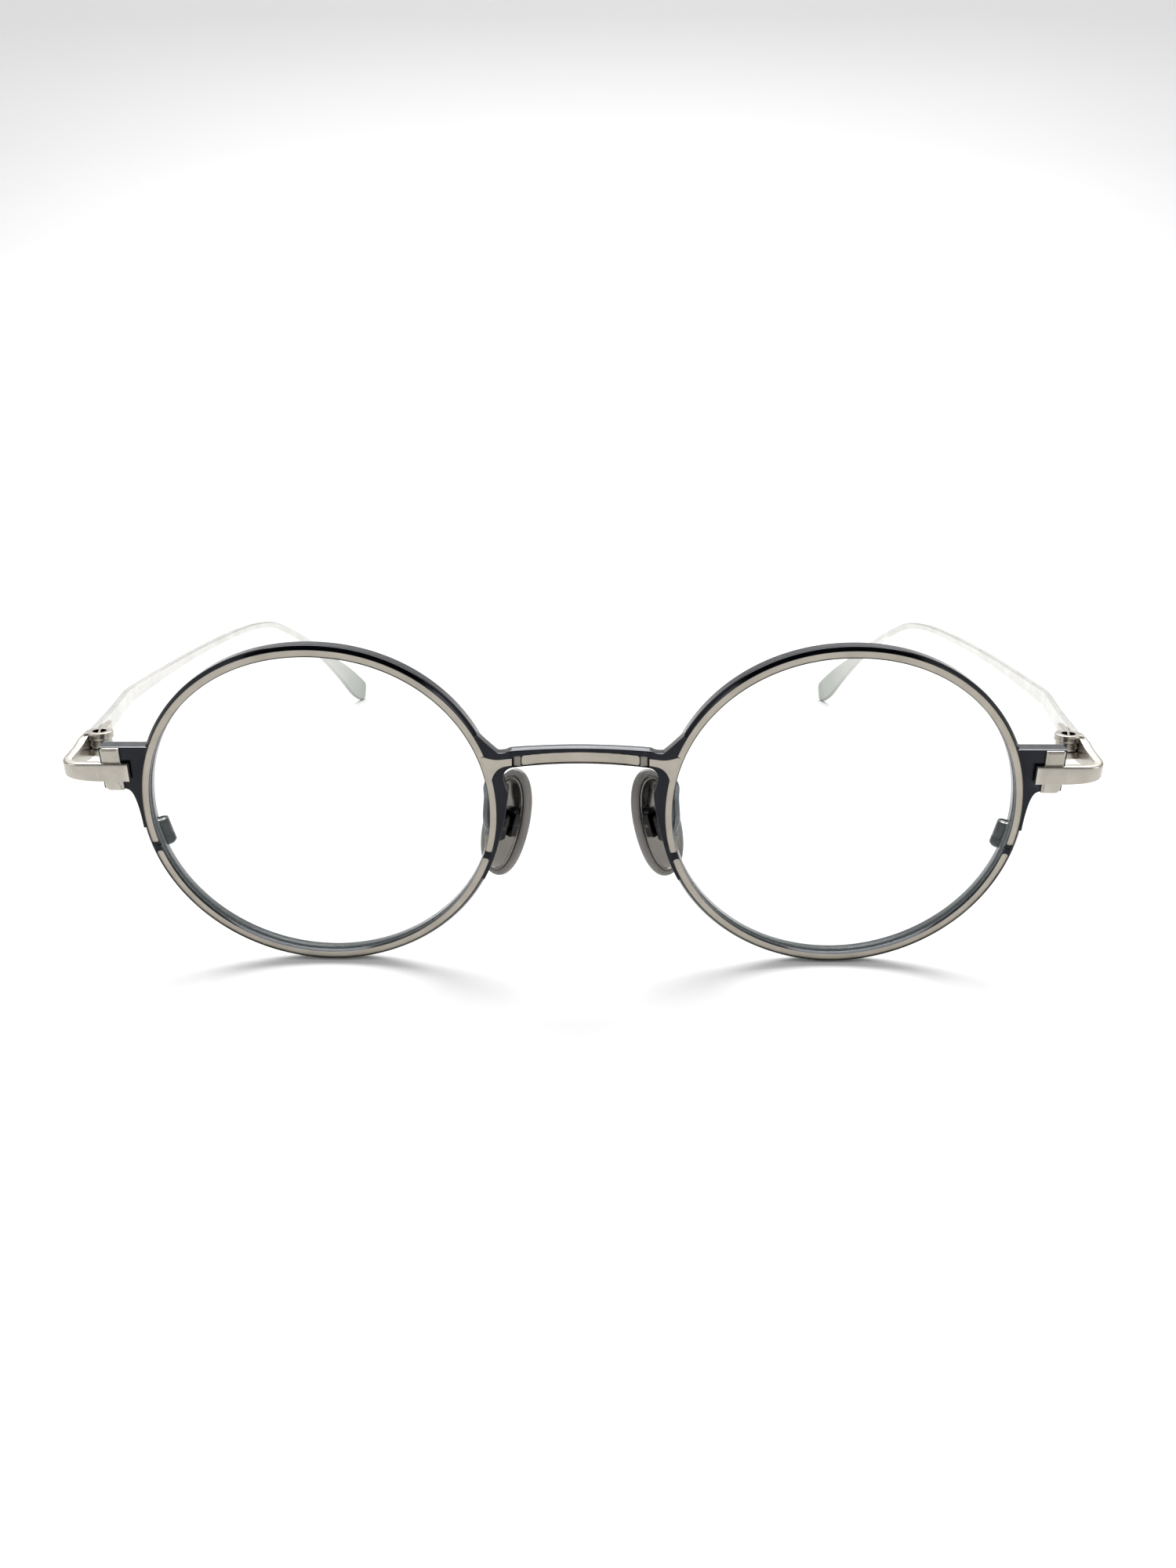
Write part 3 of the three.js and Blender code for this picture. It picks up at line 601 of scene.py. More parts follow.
def track_distance(angle, offset):
    """Signed distance to the rim's track, negative inside it."""
    mean_radius = (RIM_HALF_WIDTH + RIM_HALF_HEIGHT) / 2
    middle, half = (TRACK_INNER + TRACK_OUTER) / 2, (TRACK_OUTER - TRACK_INNER) / 2
    across = np.abs(offset - middle) - half + TRACK_END_RADIUS
    stretches = [(TRACK_TOP_END, NASAL_LAND[0]), (NASAL_LAND[1], TRACK_LOW_END + 360)]
    nearest = []
    for low, high in stretches:
        centre, reach = (low + high) / 2, (high - low) / 2
        along = np.radians(np.abs(angle - centre) - reach) * mean_radius + TRACK_END_RADIUS
        outside = np.hypot(np.maximum(along, 0), np.maximum(across, 0))
        nearest.append(outside + np.minimum(np.maximum(along, across), 0) - TRACK_END_RADIUS)
    return np.minimum(*nearest)


def rim_angles():
    """Angles around the rim, closer together at the ends of the track and behind the bridge."""
    start, finish = SPLIT_ANGLE + SPLIT_HALF_GAP, SPLIT_ANGLE - SPLIT_HALF_GAP + 360
    angles = [np.linspace(start, finish, 560), np.linspace(WEB_TOP + 3, WEB_TOP + 20, 150)]
    for end in (TRACK_TOP_END, *NASAL_LAND, TRACK_LOW_END + 360):
        angles.append(np.linspace(max(end - 1, start), min(end + 1, finish), 40))
    return np.unique(np.round(np.concatenate(angles), 4))


def rim():
    wall = RIM_WALL - 0.015  # a smooth curve just inside the CAD's corners
    angles = rim_angles()
    front = np.concatenate([
        np.linspace(0.01, TRACK_INNER - 0.03, 3),
        np.linspace(TRACK_INNER - 0.02, TRACK_OUTER + 0.03, 34),
        np.linspace(TRACK_OUTER + 0.05, wall - 0.02, 16),
    ])[::-1]
    bevel_start = TRACK_OUTER + 0.1
    slope = np.clip((front - bevel_start) / (wall - bevel_start), 0, 1)
    bevel = RIM_BEVEL * (0.8 * slope + 0.2 * slope**2)
    bevel = np.where(front < TRACK_INNER, 0.04, bevel)  # the fine edge next to the lens
    grid_a, grid_o = np.meshgrid(angles, front, indexing="ij")
    x, y = rim_point(grid_a, grid_o)
    distance = track_distance(grid_a, grid_o)
    depth = np.maximum(bevel[None, :], channel(distance))
    # (depth, offset) pairs: the inside with its groove, the back, the outside up to the bevel
    rest = np.array([
        (0.06, 0), (GROOVE_FRONT, 0), ((GROOVE_FRONT + GROOVE_BACK) / 2, GROOVE_DEPTH), (GROOVE_BACK, 0),
        (RIM_DEPTH - 0.06, 0), (RIM_DEPTH - 0.02, 0.02), (RIM_DEPTH, 0.06),
        (RIM_DEPTH, wall - 0.14), (RIM_DEPTH - 0.04, wall - 0.04), (RIM_DEPTH - 0.14, wall),
        (RIM_DEPTH - 0.35, wall), ((RIM_DEPTH + RIM_BEVEL) / 2, wall), (RIM_BEVEL + 0.4, wall),
        (RIM_BEVEL + 0.17, wall), (RIM_BEVEL + 0.1, wall - 0.07), (RIM_BEVEL + 0.04, wall - 0.01),
    ])
    rest_x, rest_y = rim_point(angles[:, None], rest[None, :, 1])
    rest_w = np.repeat(-rest[None, :, 0], len(angles), 0)
    rings = np.concatenate([np.stack([x, y, -depth], 2), np.stack([rest_x, rest_y, rest_w], 2)], 1)
    body = skin(rings)
    arc = np.radians(angles) * RIM_HALF_WIDTH
    around = np.concatenate([front, rest[:, 0] + 2])
    body.grain = np.stack(np.broadcast_arrays(arc[:, None], around[None, :]), 2).reshape(-1, 2)
    mats = np.zeros((len(angles) - 1, rings.shape[1]), int)
    mats[:, : len(front) - 1] = cell_means(distance) < 0
    body.mats = [*mats.ravel().tolist(), 0, 0]
    return body


def web():
    """The flange and the stub towards the bridge, with the track's branch on its front."""
    end = BRIDGE_HALF - OVERLAP - LENS_CENTRE
    neck, stub_top, waist = (-23.2, 8.27), (-24.35, 8.42), (-23.85, 5.3)
    shoulder, widest, foot = (-24.2, 3.3), (-24.36, 2.4), (-23.1, -3.8)
    flange_foot = rim_curve(WEB_BOTTOM, 1.36)
    edge = np.vstack([
        # the top, from the rim to the end of the stub
        bezier(rim_curve(WEB_TOP, 1.38), (-22.6, 8.75), neck, steps=14),
        bezier(neck, (-23.9, 8.2), stub_top, steps=12),
        bezier(stub_top, (-24.65, 8.6), (end, 8.62), steps=8),
        [(end, y) for y in (8.6, 8.0, 7.4, 6.8, 6.32)],
        # under the stub and down the flange's free edge, back to the rim
        bezier((end, 6.3), (-24.2, 6.15), waist, steps=12),
        bezier(waist, (-23.8, 4.3), shoulder, steps=8),
        bezier(shoulder, (-24.42, 2.9), widest, steps=8),
        bezier(widest, (-24.1, 0), foot, steps=20),
        bezier(foot, (-22.4, -6.9), flange_foot, steps=20),
        [flange_foot],
    ])
    inner = [rim_curve(a, 0.93) for a in np.linspace(WEB_BOTTOM, WEB_TOP, 60)]
    body = plate(np.vstack([edge, inner]), 0.0, -BRIDGE_DEPTH)
    rear_top = 3.5
    rear_outline = np.vstack([edge[edge[:, 1] < rear_top], [p for p in inner if p[1] < rear_top]])
    rear = plate(rear_outline, -BRIDGE_DEPTH + 0.3, -RIM_DEPTH, edge=0.03)
    branch_foot = (-24.1, 6.5)
    branch = np.vstack([
        [(end, 7.6)],
        bezier((-23.4, 7.42), (-22.2, 7.38), rim_curve(159.2, 0.62), steps=8),
        [rim_curve(a, 0.5) for a in (160, 162, 164, 166, 168)],
        bezier(rim_curve(168.6, 0.86), (-22.75, 6.2), branch_foot, steps=10),
        [branch_foot, (end, 6.66)],
    ])
    body = body + rear + plate(branch, 0.012, -TRACK_DEPTH, edge=0.03).material(1)
    body.grain = body.verts[:, :2].copy()
    return body


def lug():
    """The plate from the rim towards the temple, which carries the endpiece."""
    end = LUG_END - LENS_CENTRE
    fillet = (24.2, 3.05)
    outline = np.vstack([
        [(end, LUG_TOP), (rim_curve(23, 1.35)[0], LUG_TOP)],
        [rim_curve(a, 0.94) for a in (23.2, 20, 17, 14, 11, 8, 5, 2, -1, -4, -6)],
        bezier(rim_curve(-6, 1.36), (23.35, 2.4), fillet, steps=10),
        bezier(fillet, (24.7, LUG_BOTTOM), (25.6, LUG_BOTTOM), steps=8),
        [(end, LUG_BOTTOM)],
    ])
    body = plate(outline, 0.0, -LUG_DEPTH, edge=0.1)
    body.grain = body.verts[:, :2].copy()
    return body


pair("rim_fine", rim(), EYE, [NAVY_RIM, TRACK], "front", ["{}_rim"])
pair("rim_web", web(), EYE, [NAVY_RIM, TRACK], "front", [])
pair("rim_lug", lug(), EYE, [NAVY_RIM], "front", [])


# ---- Lens ----
def lens():
    """Two nearly parallel crowned faces and an edge with a ridge for the rim's groove."""
    edge = 1 - (GAP + 0.03) / RIM_HALF_WIDTH
    ridge = 1 + (GROOVE_DEPTH - 0.12) / RIM_HALF_WIDTH
    front = -LENS_EDGE_FRONT
    back = front - LENS_THICKNESS
    reach = np.linspace(0.02, 1, 26)
    crown = LENS_BULGE * (1 - reach**2)
    profile = [
        *zip(edge * reach, back + crown),
        (edge, -GROOVE_BACK), (ridge, -(GROOVE_FRONT + GROOVE_BACK) / 2), (edge, -GROOVE_FRONT),
        *zip(edge * reach[::-1], front + crown[::-1]),
    ]
    outline_x, outline_y = rim_point(np.linspace(0, 360, 240, endpoint=False), 0.0)
    sides = len(outline_x)
    rings = [np.column_stack([outline_x * r, outline_y * r, np.full(sides, h)]) for r, h in profile]
    body = skin([ring[::-1] for ring in rings][::-1])
    edge_bands = range(len(reach) - 1, len(reach) + 3)
    body.mats = [1 if i // sides in edge_bands else 0 for i in range(len(body.faces))]
    return body


pair("lens_fine", lens(), EYE, [LENS, LENS_EDGE], "front", ["{}_lens"])


# ---- Rim lock ----
def rim_lock():
    """The two halves of the barrel behind the split, and their screw."""
    centre = Vector((*rim_curve(SPLIT_ANGLE, LOCK_INSET), -RIM_DEPTH - GAP - LOCK_RADIUS))
    ahead = Vector((*rim_curve(SPLIT_ANGLE + 1, LOCK_INSET), centre.z))
    up = (ahead - centre).normalized()

    def along(distance):
        return centre + up * distance

    r, seat, low = LOCK_RADIUS, LOCK_SEAT, -LOCK_LOWER
    upper = turned([
        (LOCK_SEAT_BORE, seat), (LOCK_SEAT_BORE, LOCK_UPPER - 0.04), (LOCK_SEAT_BORE + 0.03, LOCK_UPPER),
        (r - 0.08, LOCK_UPPER), (r - 0.02, LOCK_UPPER - 0.03), (r, LOCK_UPPER - 0.1), (r, 0.18),
        (r - 0.02, 0.12), (r - 0.07, 0.1), (LOCK_BORE, 0.1), (LOCK_BORE, seat),
    ], along(0), along(1), hollow=True)
    lower = turned([
        (LOCK_BORE, -0.1), (r - 0.07, -0.1), (r - 0.02, -0.12), (r, -0.18), (r, low + 0.35),
        (r - 0.1, low + 0.2), (r - 0.32, low), (LOCK_BORE, low),
    ], along(0), along(1), hollow=True)
    head = slotted_head(LOCK_HEAD_RADIUS, along(seat + GAP), along(seat + 0.32), 0.2, 0.16)
    shank = pin(LOCK_SCREW_RADIUS, along(low + 0.1), along(seat + 0.2))
    return upper, lower, shank + head


lock_upper, lock_lower, lock_screw = rim_lock()
pair("lock_upper_fine", lock_upper, EYE, [NAVY], "front", ["{}_rim_lock_upper"], 30)
pair("lock_lower_fine", lock_lower, EYE, [NAVY], "front", ["{}_rim_lock_lower"], 30)
pair("lock_screw_fine", lock_screw, EYE, [STEEL], "front", ["{}_rim_lock_screw"], 30)


# ---- Bridge ----
def bridge():
    """A gently arched bar with a recessed track on its front and a ramp at each end."""
    ramp_steps = np.linspace(6.8, BRIDGE_HALF, 50)
    xs = np.concatenate([np.linspace(-BRIDGE_HALF, BRIDGE_HALF, 140), -ramp_steps, ramp_steps])
    xs = np.unique(np.round(xs, 4))[:, None]

    def arched(heights, half_length):
        middle, end = heights
        return middle + (end - middle) * (xs / half_length) ** 2

    low, high = arched(BRIDGE_LOW, BRIDGE_HALF), arched(BRIDGE_HIGH, BRIDGE_HALF)
    track_low = arched(BRIDGE_TRACK_LOW, BRIDGE_TRACK_HALF)
    track_high = arched(BRIDGE_TRACK_HIGH, BRIDGE_TRACK_HALF)
    v = np.concatenate([[0, 0.015, 0.04, 0.08], np.linspace(0.12, 0.94, 44), [0.965, 0.985, 1]])
    x = np.repeat(xs, len(v), 1)
    y = low + (high - low) * v
    lip = np.clip(BRIDGE_EDGE - np.minimum(y - low, high - y), 0, BRIDGE_EDGE)
    depth = BRIDGE_EDGE - np.sqrt(np.maximum(BRIDGE_EDGE**2 - lip**2, 0))
    across = np.maximum(track_low - y, y - track_high)
    along = np.abs(x) - BRIDGE_TRACK_HALF
    corner = BRIDGE_TRACK_CORNER
    outside = np.hypot(np.maximum(along + corner, 0), np.maximum(across + corner, 0))
    distance = outside + np.minimum(np.maximum(along, across) + corner, 0) - corner
    ramp_start = BRIDGE_TRACK_HALF + 0.12
    ramp_zone = np.maximum(ramp_start - np.abs(x), across - 0.02)
    ramp = RAMP_DEPTH * np.clip((np.abs(x) - ramp_start) / (BRIDGE_HALF - ramp_start), 0.1, 1)
    depth = np.maximum(depth, channel(distance))
    depth = np.where(ramp_zone < 0, np.maximum(depth, ramp), depth)
    top = np.stack([x, y, -depth], 2)
    back = np.stack([x, y, np.full_like(x, -BRIDGE_DEPTH)], 2)[:, ::-1]
    back = back[:, [0, 3, len(v) // 2, len(v) - 4, len(v) - 1]]
    back[:, [0, -1], 2] += 0.05
    rings = np.concatenate([top, back], 1)
    body = skin(rings)
    on_track, painted_reflection_on_ramp = cell_means(distance) < 0, cell_means(ramp_zone) < 0
    mats = np.zeros((len(rings) - 1, rings.shape[1]), int)
    # Material 2, the darker copy of the track on the ramps, is a painted dark reflection.
    mats[:, : len(v) - 1] = np.where(on_track, 1, np.where(painted_reflection_on_ramp, 2, 0))
    body.mats = [*mats.ravel().tolist(), 0, 0]
    body.grain = body.verts[:, :2].copy()
    return body


piece("bridge_fine", bridge(), FRONT, [NAVY_RIM, TRACK, RAMP_PAINTED_REFLECTION], "front", ["bridge"])


# ---- Endpiece ----
def block_section(w, h, radius, steps):
    """The outline of a bar, by its half width and half height."""
    return rounded([(w, -h), (w, h), (-w, h), (-w, -h)], radius, steps)


def arm():
    """The bar that leaves the cross, turns the corner and runs back to the hinge."""
    start, low, high, rise = CROSS_BAR
    middle, tall = (low + high) / 2, high - low
    centre, thick = rise - ARM_THICKNESS / 2, ARM_THICKNESS
    # x, depth, turn of the section in degrees, height of its middle, its height, its thickness
    stations = [
        (start + 0.02, centre + 0.28, 0, middle, tall, 0.62),
        (60.9, centre + 0.12, 0, middle, tall, 0.95),
        (61.3, centre, 0, middle, tall, thick),
        (62.8, centre, 0, middle + 0.04, tall - 0.1, thick),
        (63.9, centre - 0.04, 6, middle + 0.12, tall - 0.25, thick),
        (64.8, centre - 0.36, 34, middle + 0.2, tall - 0.42, thick),
        (65.4, centre - 1.05, 62, middle + 0.24, tall - 0.5, thick),
        (65.68, centre - 2.1, 86, middle + 0.24, tall - 0.45, thick),
        (65.75, -5, 89, middle + 0.15, tall, thick),
        (65.8, -7, 90, middle + 0.1, 3.1, thick),
        (65.8, -9.4, 90, middle + 0.1, 3.1, thick),
        (65.8, -HINGE_DEPTH - 1.95, 90, middle + 0.02, 3.05, thick),
    ]
    rings = []
    for x, z, turn, y, high_here, thick_here in catmull(stations, 8):
        side = np.array([math.sin(math.radians(turn)), 0, math.cos(math.radians(turn))])
        section = block_section(thick_here / 2, high_here / 2, [0.16, 0.34, 0.12, 0.1], 5)
        rings.append([np.array([x, y + b, z]) + side * a for a, b in section])
    return skin([r[::-1] for r in rings])


def cross():
    """The upright of the silver cross, on the front of the lug."""
    left, right, low, high, rise = CROSS_POST
    outline = rounded([(left, low), (right, low), (right, high), (left, high)], [0.25, 0.75, 0.3, 0.3], 8)
    return plate(outline, rise, -OVERLAP, edge=0.3, steps=6)


def hinge_plate(low, high):
    """One fixed knuckle: a rounded plate that grows out of the arm."""
    angles = np.radians(np.linspace(45, 315, 40))
    disc = np.column_stack([np.cos(angles), np.sin(angles)]) * KNUCKLE_RADIUS
    outline = np.vstack([disc, [(1.55, -1.5), (1.55, 1.6)]])
    return plate(outline, high, low, edge=0.14, back_edge=0.1)


def endpiece():
    hinge_in_front = FRONT.inverted() @ HINGE
    low_plate = hinge_plate(HINGE_BOTTOM, HINGE_BOTTOM + KNUCKLE_HEIGHT)
    high_plate = hinge_plate(HINGE_TOP - KNUCKLE_HEIGHT, HINGE_TOP)
    slot_low, slot_high = HINGE_BOTTOM + KNUCKLE_HEIGHT, HINGE_TOP - KNUCKLE_HEIGHT
    slot = pin(TONGUE_RADIUS + 0.12, (0, 0, slot_low), (0, 0, slot_high), 0.01)
    slotted_arm = subtract(arm(), slot.moved(hinge_in_front))
    return slotted_arm + cross() + (low_plate + high_plate).moved(hinge_in_front)


pair("endpiece_fine", endpiece(), FRONT, [CHAMPAGNE], "front", ["{}_endpiece"], 42)


def hinge_screw():
    """The hinge's pin with its slotted head, flush with the upper knuckle."""
    head = slotted_head(HINGE_HEAD_RADIUS, (0, 0, HINGE_TOP - 0.3), (0, 0, HINGE_TOP), 0.26, 0.2, 0.5)
    return pin(HINGE_PIN_RADIUS, (0, 0, HINGE_BOTTOM + 0.02), (0, 0, HINGE_TOP - 0.1)) + head


pair("hinge_screw_fine", hinge_screw(), HINGE, [STEEL], "front", ["{}_hinge_screw"], 30)


# ---- Temple ----
TEMPLE_STATIONS = [  # x and y from the hinge, z, height, thickness
    (1.85, TEMPLE_START, 28.96, 2.7, 1.1),
    (2.85, 8, 28.81, 2.5, 1.1),
    (4.2, 16, 28.66, 2.35, 1.1),
    (5.75, 24.5, 28.56, 2.3, 1.05),
    (6.25, 28, 28.51, 2.25, 1.05),
    (6.4, 33, 28.41, 2.1, 1.05),
    (6.5, 45, 28.26, 1.75, 1.1),
    (6.3, 58, 28.06, 1.5, 1.15),
    (5.6, 70, 27.86, 1.35, 1.2),
    (4.4, 80, 27.76, 1.3, 1.2),
    (2.9, 88, 27.46, 1.3, 1.2),
    (1.2, 95.5, 26.26, 1.3, 1.2),
    (-0.6, 102.5, 23.36, 1.35, 1.2),
    (-2.4, 109.5, 19.66, 1.5, 1.15),
    (-4.1, 116, 15.4, 2, 1.1),
    (-5.5, 122, 11.5, 3.2, 1.05),
    (-6.6, 127.5, 7.9, 4.4, 1),
    (-7.5, 132, 4.75, 5.2, 1),
    (-8.1, 135.2, 2.83, 5, 1),
    (-8.5, 137, 1.93, 4.2, 1),
    (-8.7, 137.9, 1.6, 2.8, 0.8),
]


def temple():
    """A thin bar that narrows, bends down behind the ear and widens into a flat tip."""
    path = catmull(TEMPLE_STATIONS, 9)
    middles = path[:, :3]
    rings = []
    for i, (x, y, z, high, wide) in enumerate(path):
        along = middles[min(i + 1, len(path) - 1)] - middles[i - 1] if i else np.array([0.0, 1, 0])
        along /= np.linalg.norm(along)
        side = np.cross(along, (0, 0, 1))
        side /= np.linalg.norm(side)
        up = np.cross(side, along)
        section = block_section(wide / 2, high / 2, min(wide, high) * 0.31, 5)
        rings.append([np.array([x, y, z]) + side * a + up * b for a, b in section])
    return skin(rings)


pair("temple_fine", temple(), HINGE, [TEMPLE], "{}_temple_arm", ["{}_temple"], 42)


def temple_hinge():
    """The leaf on the inside of the temple and the tongue that turns between the knuckles."""
    low = HINGE_BOTTOM + KNUCKLE_HEIGHT + RUNNING_GAP
    high = HINGE_TOP - KNUCKLE_HEIGHT - RUNNING_GAP
    leaf_start = TEMPLE_START + 0.25
    first_x, *_, first_thickness = TEMPLE_STATIONS[0]
    inner = first_x - first_thickness / 2 - GAP
    rings = []
    for t in np.linspace(0, 1, 8):
        x, y, z = inner - 0.48 + 0.64 * t, leaf_start + (LEAF_END - leaf_start) * t, 29.1 - 0.1 * t
        thinning = 1 if t < 1 else 0.8
        section = block_section(LEAF_HALF_THICKNESS * thinning, LEAF_HALF_HEIGHT, 0.2, 4)
        rings.append([(x + a, y, z + b) for a, b in section])
    angles = np.radians(np.linspace(80, 300, 36))
    disc = np.column_stack([np.cos(angles), np.sin(angles)]) * TONGUE_RADIUS
    neck_end = leaf_start + 0.2
    neck = np.vstack([disc, [(inner - 0.45, 0), (inner - 0.45, neck_end), (0.26, neck_end)]])
    return skin(rings) + plate(neck, high, low, edge=0.06)


pair(
    "temple_hinge_fine", temple_hinge(), HINGE, [CHAMPAGNE], "{}_temple_arm",
    ["{}_temple_hinge"], 40)


# ---- Nose pad ----
def pad_outline(length, width, steps=16):
    """A drop-like oval, a little fuller on one side."""
    l, w = length / 2, width / 2
    t = np.linspace(0, 1, steps, endpoint=False)[:, None]

    def cubic(*points):
        a, b, c, d = (np.array(p, float) for p in points)
        return (1 - t) ** 3 * a + 3 * (1 - t) ** 2 * t * b + 3 * (1 - t) * t * t * c + t**3 * d

    return np.vstack([
        cubic((0, -l), (w * 0.75, -l), (w * 1.05, -l * 0.5), (w, 0)),
        cubic((w, 0), (w * 0.95, l * 0.55), (w * 0.55, l), (0, l)),
        cubic((0, l), (-w * 0.6, l), (-w, l * 0.6), (-w, 0)),
        cubic((-w, 0), (-w, -l * 0.6), (-w * 0.65, -l), (0, -l)),
    ])


def pad_ring(length, width, z):
    outline = pad_outline(length, width)
    return np.column_stack([outline, np.full(len(outline), z)])


def pad_skin():
    """The soft outer part: a full rounded edge, a flat nose side and a seat for the core."""
    half = PAD_THICKNESS / 2
    nose_side = [
        pad_ring(PAD_LENGTH - 2 * inset - 1, PAD_WIDTH - 2 * inset, -half) for inset in (3.0, 2.0, 1.0)]
    profile = []
    for a in np.linspace(-math.pi / 2, math.pi / 2, 11):
        profile.append((0.5 * (1 - math.cos(a)), half * math.sin(a)))
    profile += [(0.72, half), (0.8, half - 0.06), (0.82, half - 0.34), (1.4, half - 0.36)]
    rings = [pad_ring(PAD_LENGTH - 2 * inset, PAD_WIDTH - 2 * inset, z) for inset, z in profile]
    return skin(nose_side + rings)


def pad_core():
    """The plate with its raised border, and the stud that goes into the box."""
    top = PAD_THICKNESS / 2
    profile = [  # (inset, height) pairs
        (0, -0.3), (0, -0.08), (0.03, -0.02), (0.09, 0), (0.2, 0),
        (0.27, -0.02), (0.32, -0.07), (0.4, -0.09), (1.2, -0.09), (2, -0.09)]
    core = skin([
        pad_ring(CORE_LENGTH - 2 * inset, CORE_WIDTH - 2 * inset, top + z) for inset, z in profile])
    stud_outline = block_section(BOX_WIDTH / 2 - BOX_WALL - RUNNING_GAP, 0.5, 0.12, 4)
    return core + plate(stud_outline, PAD_PIVOT + 0.425, top - 0.2, edge=0.08)


def pad_box():
    """A box on the end of the arm, open towards the pad."""
    outer = block_section(BOX_WIDTH / 2, BOX_HEIGHT / 2, 0.3, 5)
    shell = plate(outer, BOX_TOP, BOX_BOTTOM, edge=0.16)
    inner = block_section(BOX_WIDTH / 2 - BOX_WALL, 1.35, 0.15, 4)
    hollow = plate(inner, BOX_TOP - BOX_WALL, BOX_BOTTOM - 1, edge=0.08)
    return subtract(shell, hollow)


def pad_screw():
    """The cross screw through the box and the stud, the axis that the pad rocks on."""
    end = BOX_WIDTH / 2
    seat, top = (end + GAP, 0, PAD_PIVOT), (end + 0.4, 0, PAD_PIVOT)
    shank = pin(PAD_SCREW_RADIUS, (-end, 0, PAD_PIVOT), (end + 0.2, 0, PAD_PIVOT))
    return shank + slotted_head(PAD_SCREW_HEAD, seat, top, 0.18, 0.18, 1.1)


def pad_arm():
    """A wire from the back of the rim, round behind the flange, to the back of the box."""
    end = FRONT.inverted() @ PAD @ Vector((0, 0, BOX_TOP + GAP + WIRE / 2))
    route = [
        (10.35, 2.9, -RIM_DEPTH - GAP), (10.35, 2.9, -3.1), (10.8, 2.85, -4), (11.7, 2.6, -4.5),
        (12.3, 1.7, -4.6), (12.3, 0.1, -4.4), (end.x + 0.35, end.y + 1.5, end.z), tuple(end)]
    return tube(catmull(route, 10), WIRE / 2)


pair("nose_pad_fine", pad_skin(), PAD, [SKIN], "{}_pad", ["{}_nose_pad"], 50)
pair("pad_core_fine", pad_core(), PAD, [CORE], "{}_pad", ["{}_pad_core"], 40)
pair("pad_box_fine", pad_box(), PAD, [WIRE_STEEL], "front", ["{}_pad_box"], 35)
pair("pad_screw_fine", pad_screw(), PAD, [STEEL], "front", ["{}_pad_screw"], 35)
pair("pad_arm_fine", pad_arm(), FRONT, [WIRE_STEEL], "front", ["{}_pad_arm"], 40)


# ---- Stage ----
def aim(thing, place, target):
    thing.location = place
    thing.rotation_euler = (Vector(target) - Vector(place)).to_track_quat("-Z", "Y").to_euler()


def staged(name, verts, faces, shade, roughness, tones, noise_scale, detail):
    """A matt thing in the studio that is not a part of the object."""
    n = Nodes(shade)
    shader = n.add("ShaderNodeBsdfPrincipled", Roughness=roughness)
    mottle = n.noise(n.coords(False), noise_scale, detail=detail)
    n.join(n.blend(mottle, *tones), shader.inputs["Base Color"])
    n.join(shader.outputs["BSDF"], n.out.inputs["Surface"])
    mesh = bpy.data.meshes.new(name)
    mesh.from_pydata(verts, [], faces)
    mesh.materials.append(n.material)
    made = bpy.data.objects.new(name, mesh)
    bpy.context.scene.collection.objects.link(made)
    return made


def floor():
    """A pale floor that curves up into a back wall."""
    bend = 0.5
    profile = [(-1.2, 0), (bend, 0)]
    for a in np.radians(np.linspace(10, 90, 9)):
        profile.append((bend + bend * math.sin(a), bend - bend * math.cos(a)))
    profile.append((2 * bend, 1.6))
    sweep = skin(
        [[(x, y, z - 0.0001) for x in np.linspace(-1.5, 1.5, 3)] for y, z in profile], around=False)
    made = staged(
        "floor", [tuple(v) for v in sweep.verts], [f[::-1] for f in sweep.faces], "pale_floor",
        0.6, ((0.93, 0.93, 0.93), (0.95, 0.95, 0.95)), 6, 2.0)
    for polygon in made.data.polygons:
        polygon.use_smooth = True


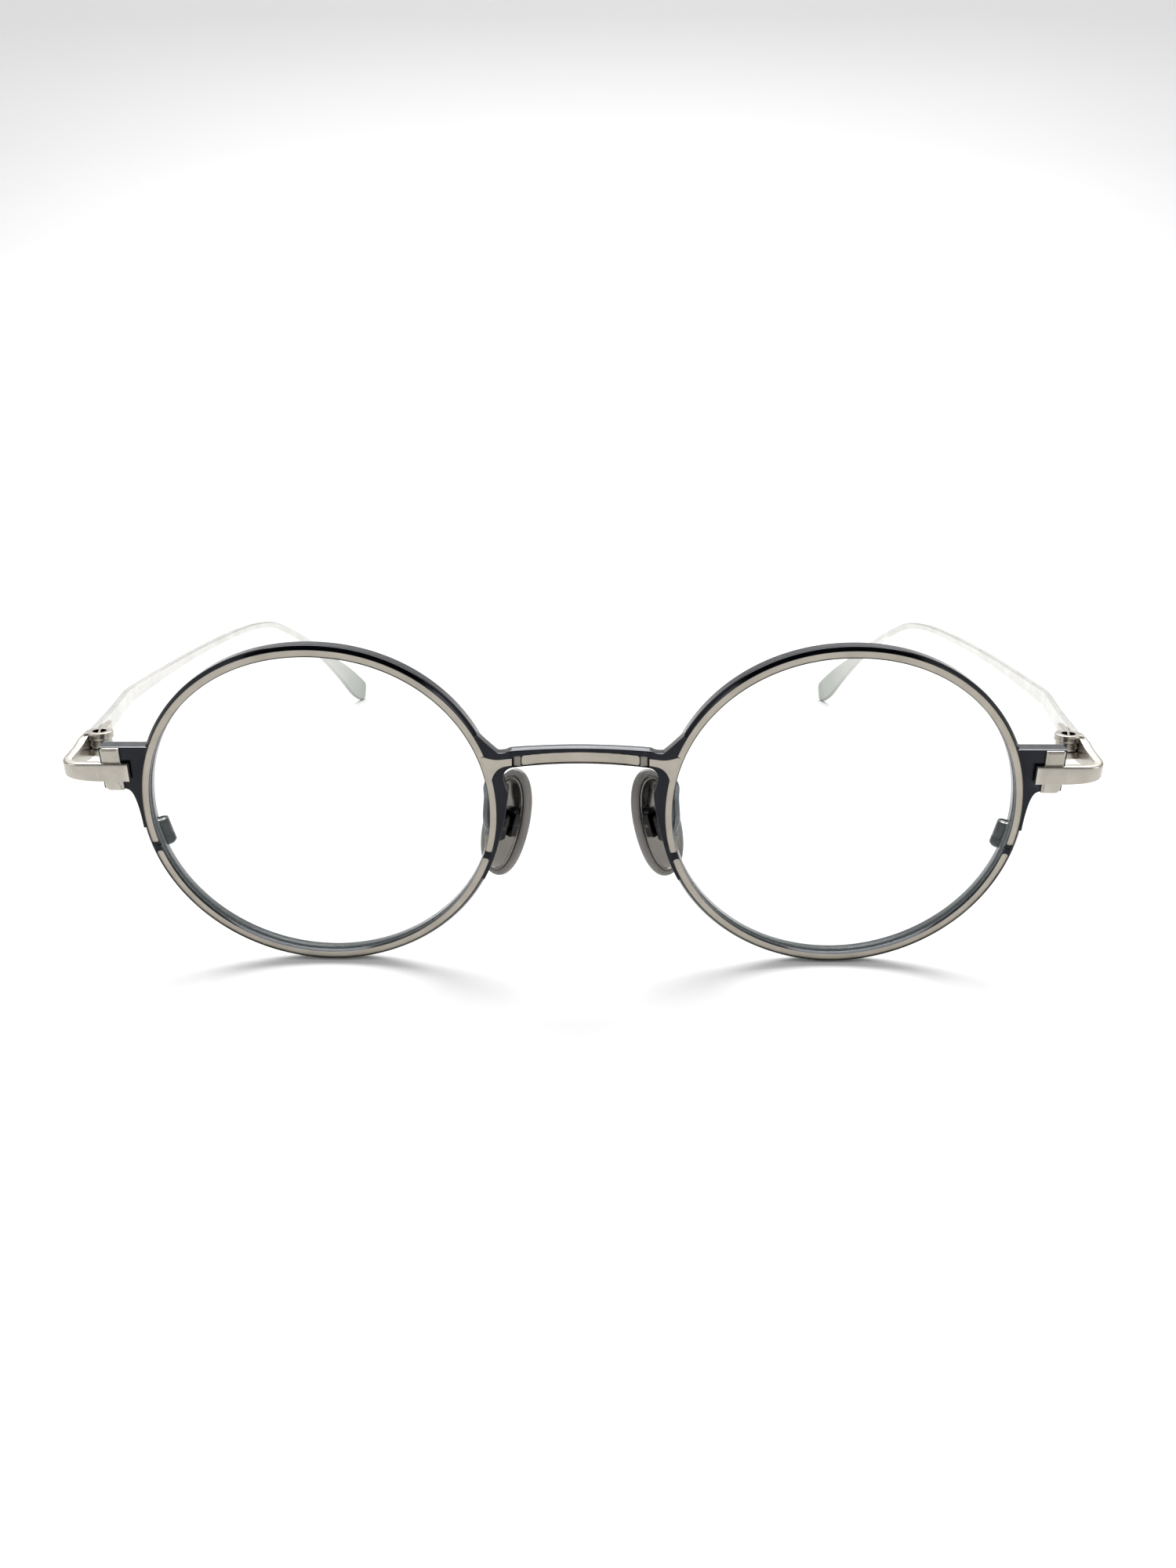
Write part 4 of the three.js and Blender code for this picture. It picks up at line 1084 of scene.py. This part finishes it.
def card(name, place, target, size):
    """A dark card out of the camera's view, for the dark reflections on the bevels."""
    w, h = size[0] / 2, size[1] / 2
    made = staged(
        name, [(-w, -h, 0), (w, -h, 0), (w, h, 0), (-w, h, 0)], [(0, 1, 2, 3)], name,
        0.9, ((0.010, 0.010, 0.012), (0.016, 0.016, 0.018)), 40, 3.0)
    aim(made, place, target)


def area_light(name, place, target, size, power):
    data = bpy.data.lights.new(name, "AREA")
    data.shape = "RECTANGLE"
    data.size, data.size_y = size
    data.energy = power
    made = bpy.data.objects.new(name, data)
    aim(made, place, target)
    bpy.context.scene.collection.objects.link(made)


floor()
card("dark_card", (0, -0.2, 0.6), (0, -0.07, 0.02), (1.0, 0.5))
area_light("top_softbox", (0.0, 0.48, 0.7), (0, 0, 0), (0.9, 0.5), 8.5)
area_light("left_softbox", (-0.7, -0.35, 0.5), (0, 0, 0.02), (0.4, 0.5), 1.2)
area_light("right_softbox", (0.75, -0.3, 0.45), (0, 0, 0.02), (0.35, 0.5), 1.6)

WORLD_STRENGTH = 0.6
world = bpy.data.worlds.new("studio")
world.use_nodes = True
background = world.node_tree.nodes["Background"]
background.inputs["Color"].default_value = (1, 1, 1, 1)
background.inputs["Strength"].default_value = WORLD_STRENGTH
bpy.context.scene.world = world
bpy.context.scene.view_settings.view_transform = "Standard"

# ---- Camera ----
CAMERA_PLACE = (2.84, -152.01 + FRONT_Y, 54.19 + FRONT_Z)  # mm
CAMERA_PITCH = 24.28
CAMERA_YAW = -0.75
CAMERA_ROLL = 0.12
CAMERA_LENS = 28.8

camera_data = bpy.data.cameras.new("camera")
camera_data.sensor_width = 36
camera_data.lens = CAMERA_LENS
camera_data.clip_start = 0.005
camera = bpy.data.objects.new("camera", camera_data)
turn = (
    Matrix.Rotation(math.radians(CAMERA_ROLL), 3, "Z")
    @ Matrix.Rotation(math.radians(CAMERA_PITCH), 3, "X")
    @ Matrix.Rotation(math.radians(CAMERA_YAW), 3, "Y"))
lean = Matrix.Rotation(math.radians(90 + FRONT_LEAN), 3, "X")
camera.matrix_world = (
    Matrix.Translation([c * 0.001 for c in CAMERA_PLACE]) @ (lean @ turn.transposed()).to_4x4())
bpy.context.scene.collection.objects.link(camera)
bpy.context.scene.camera = camera
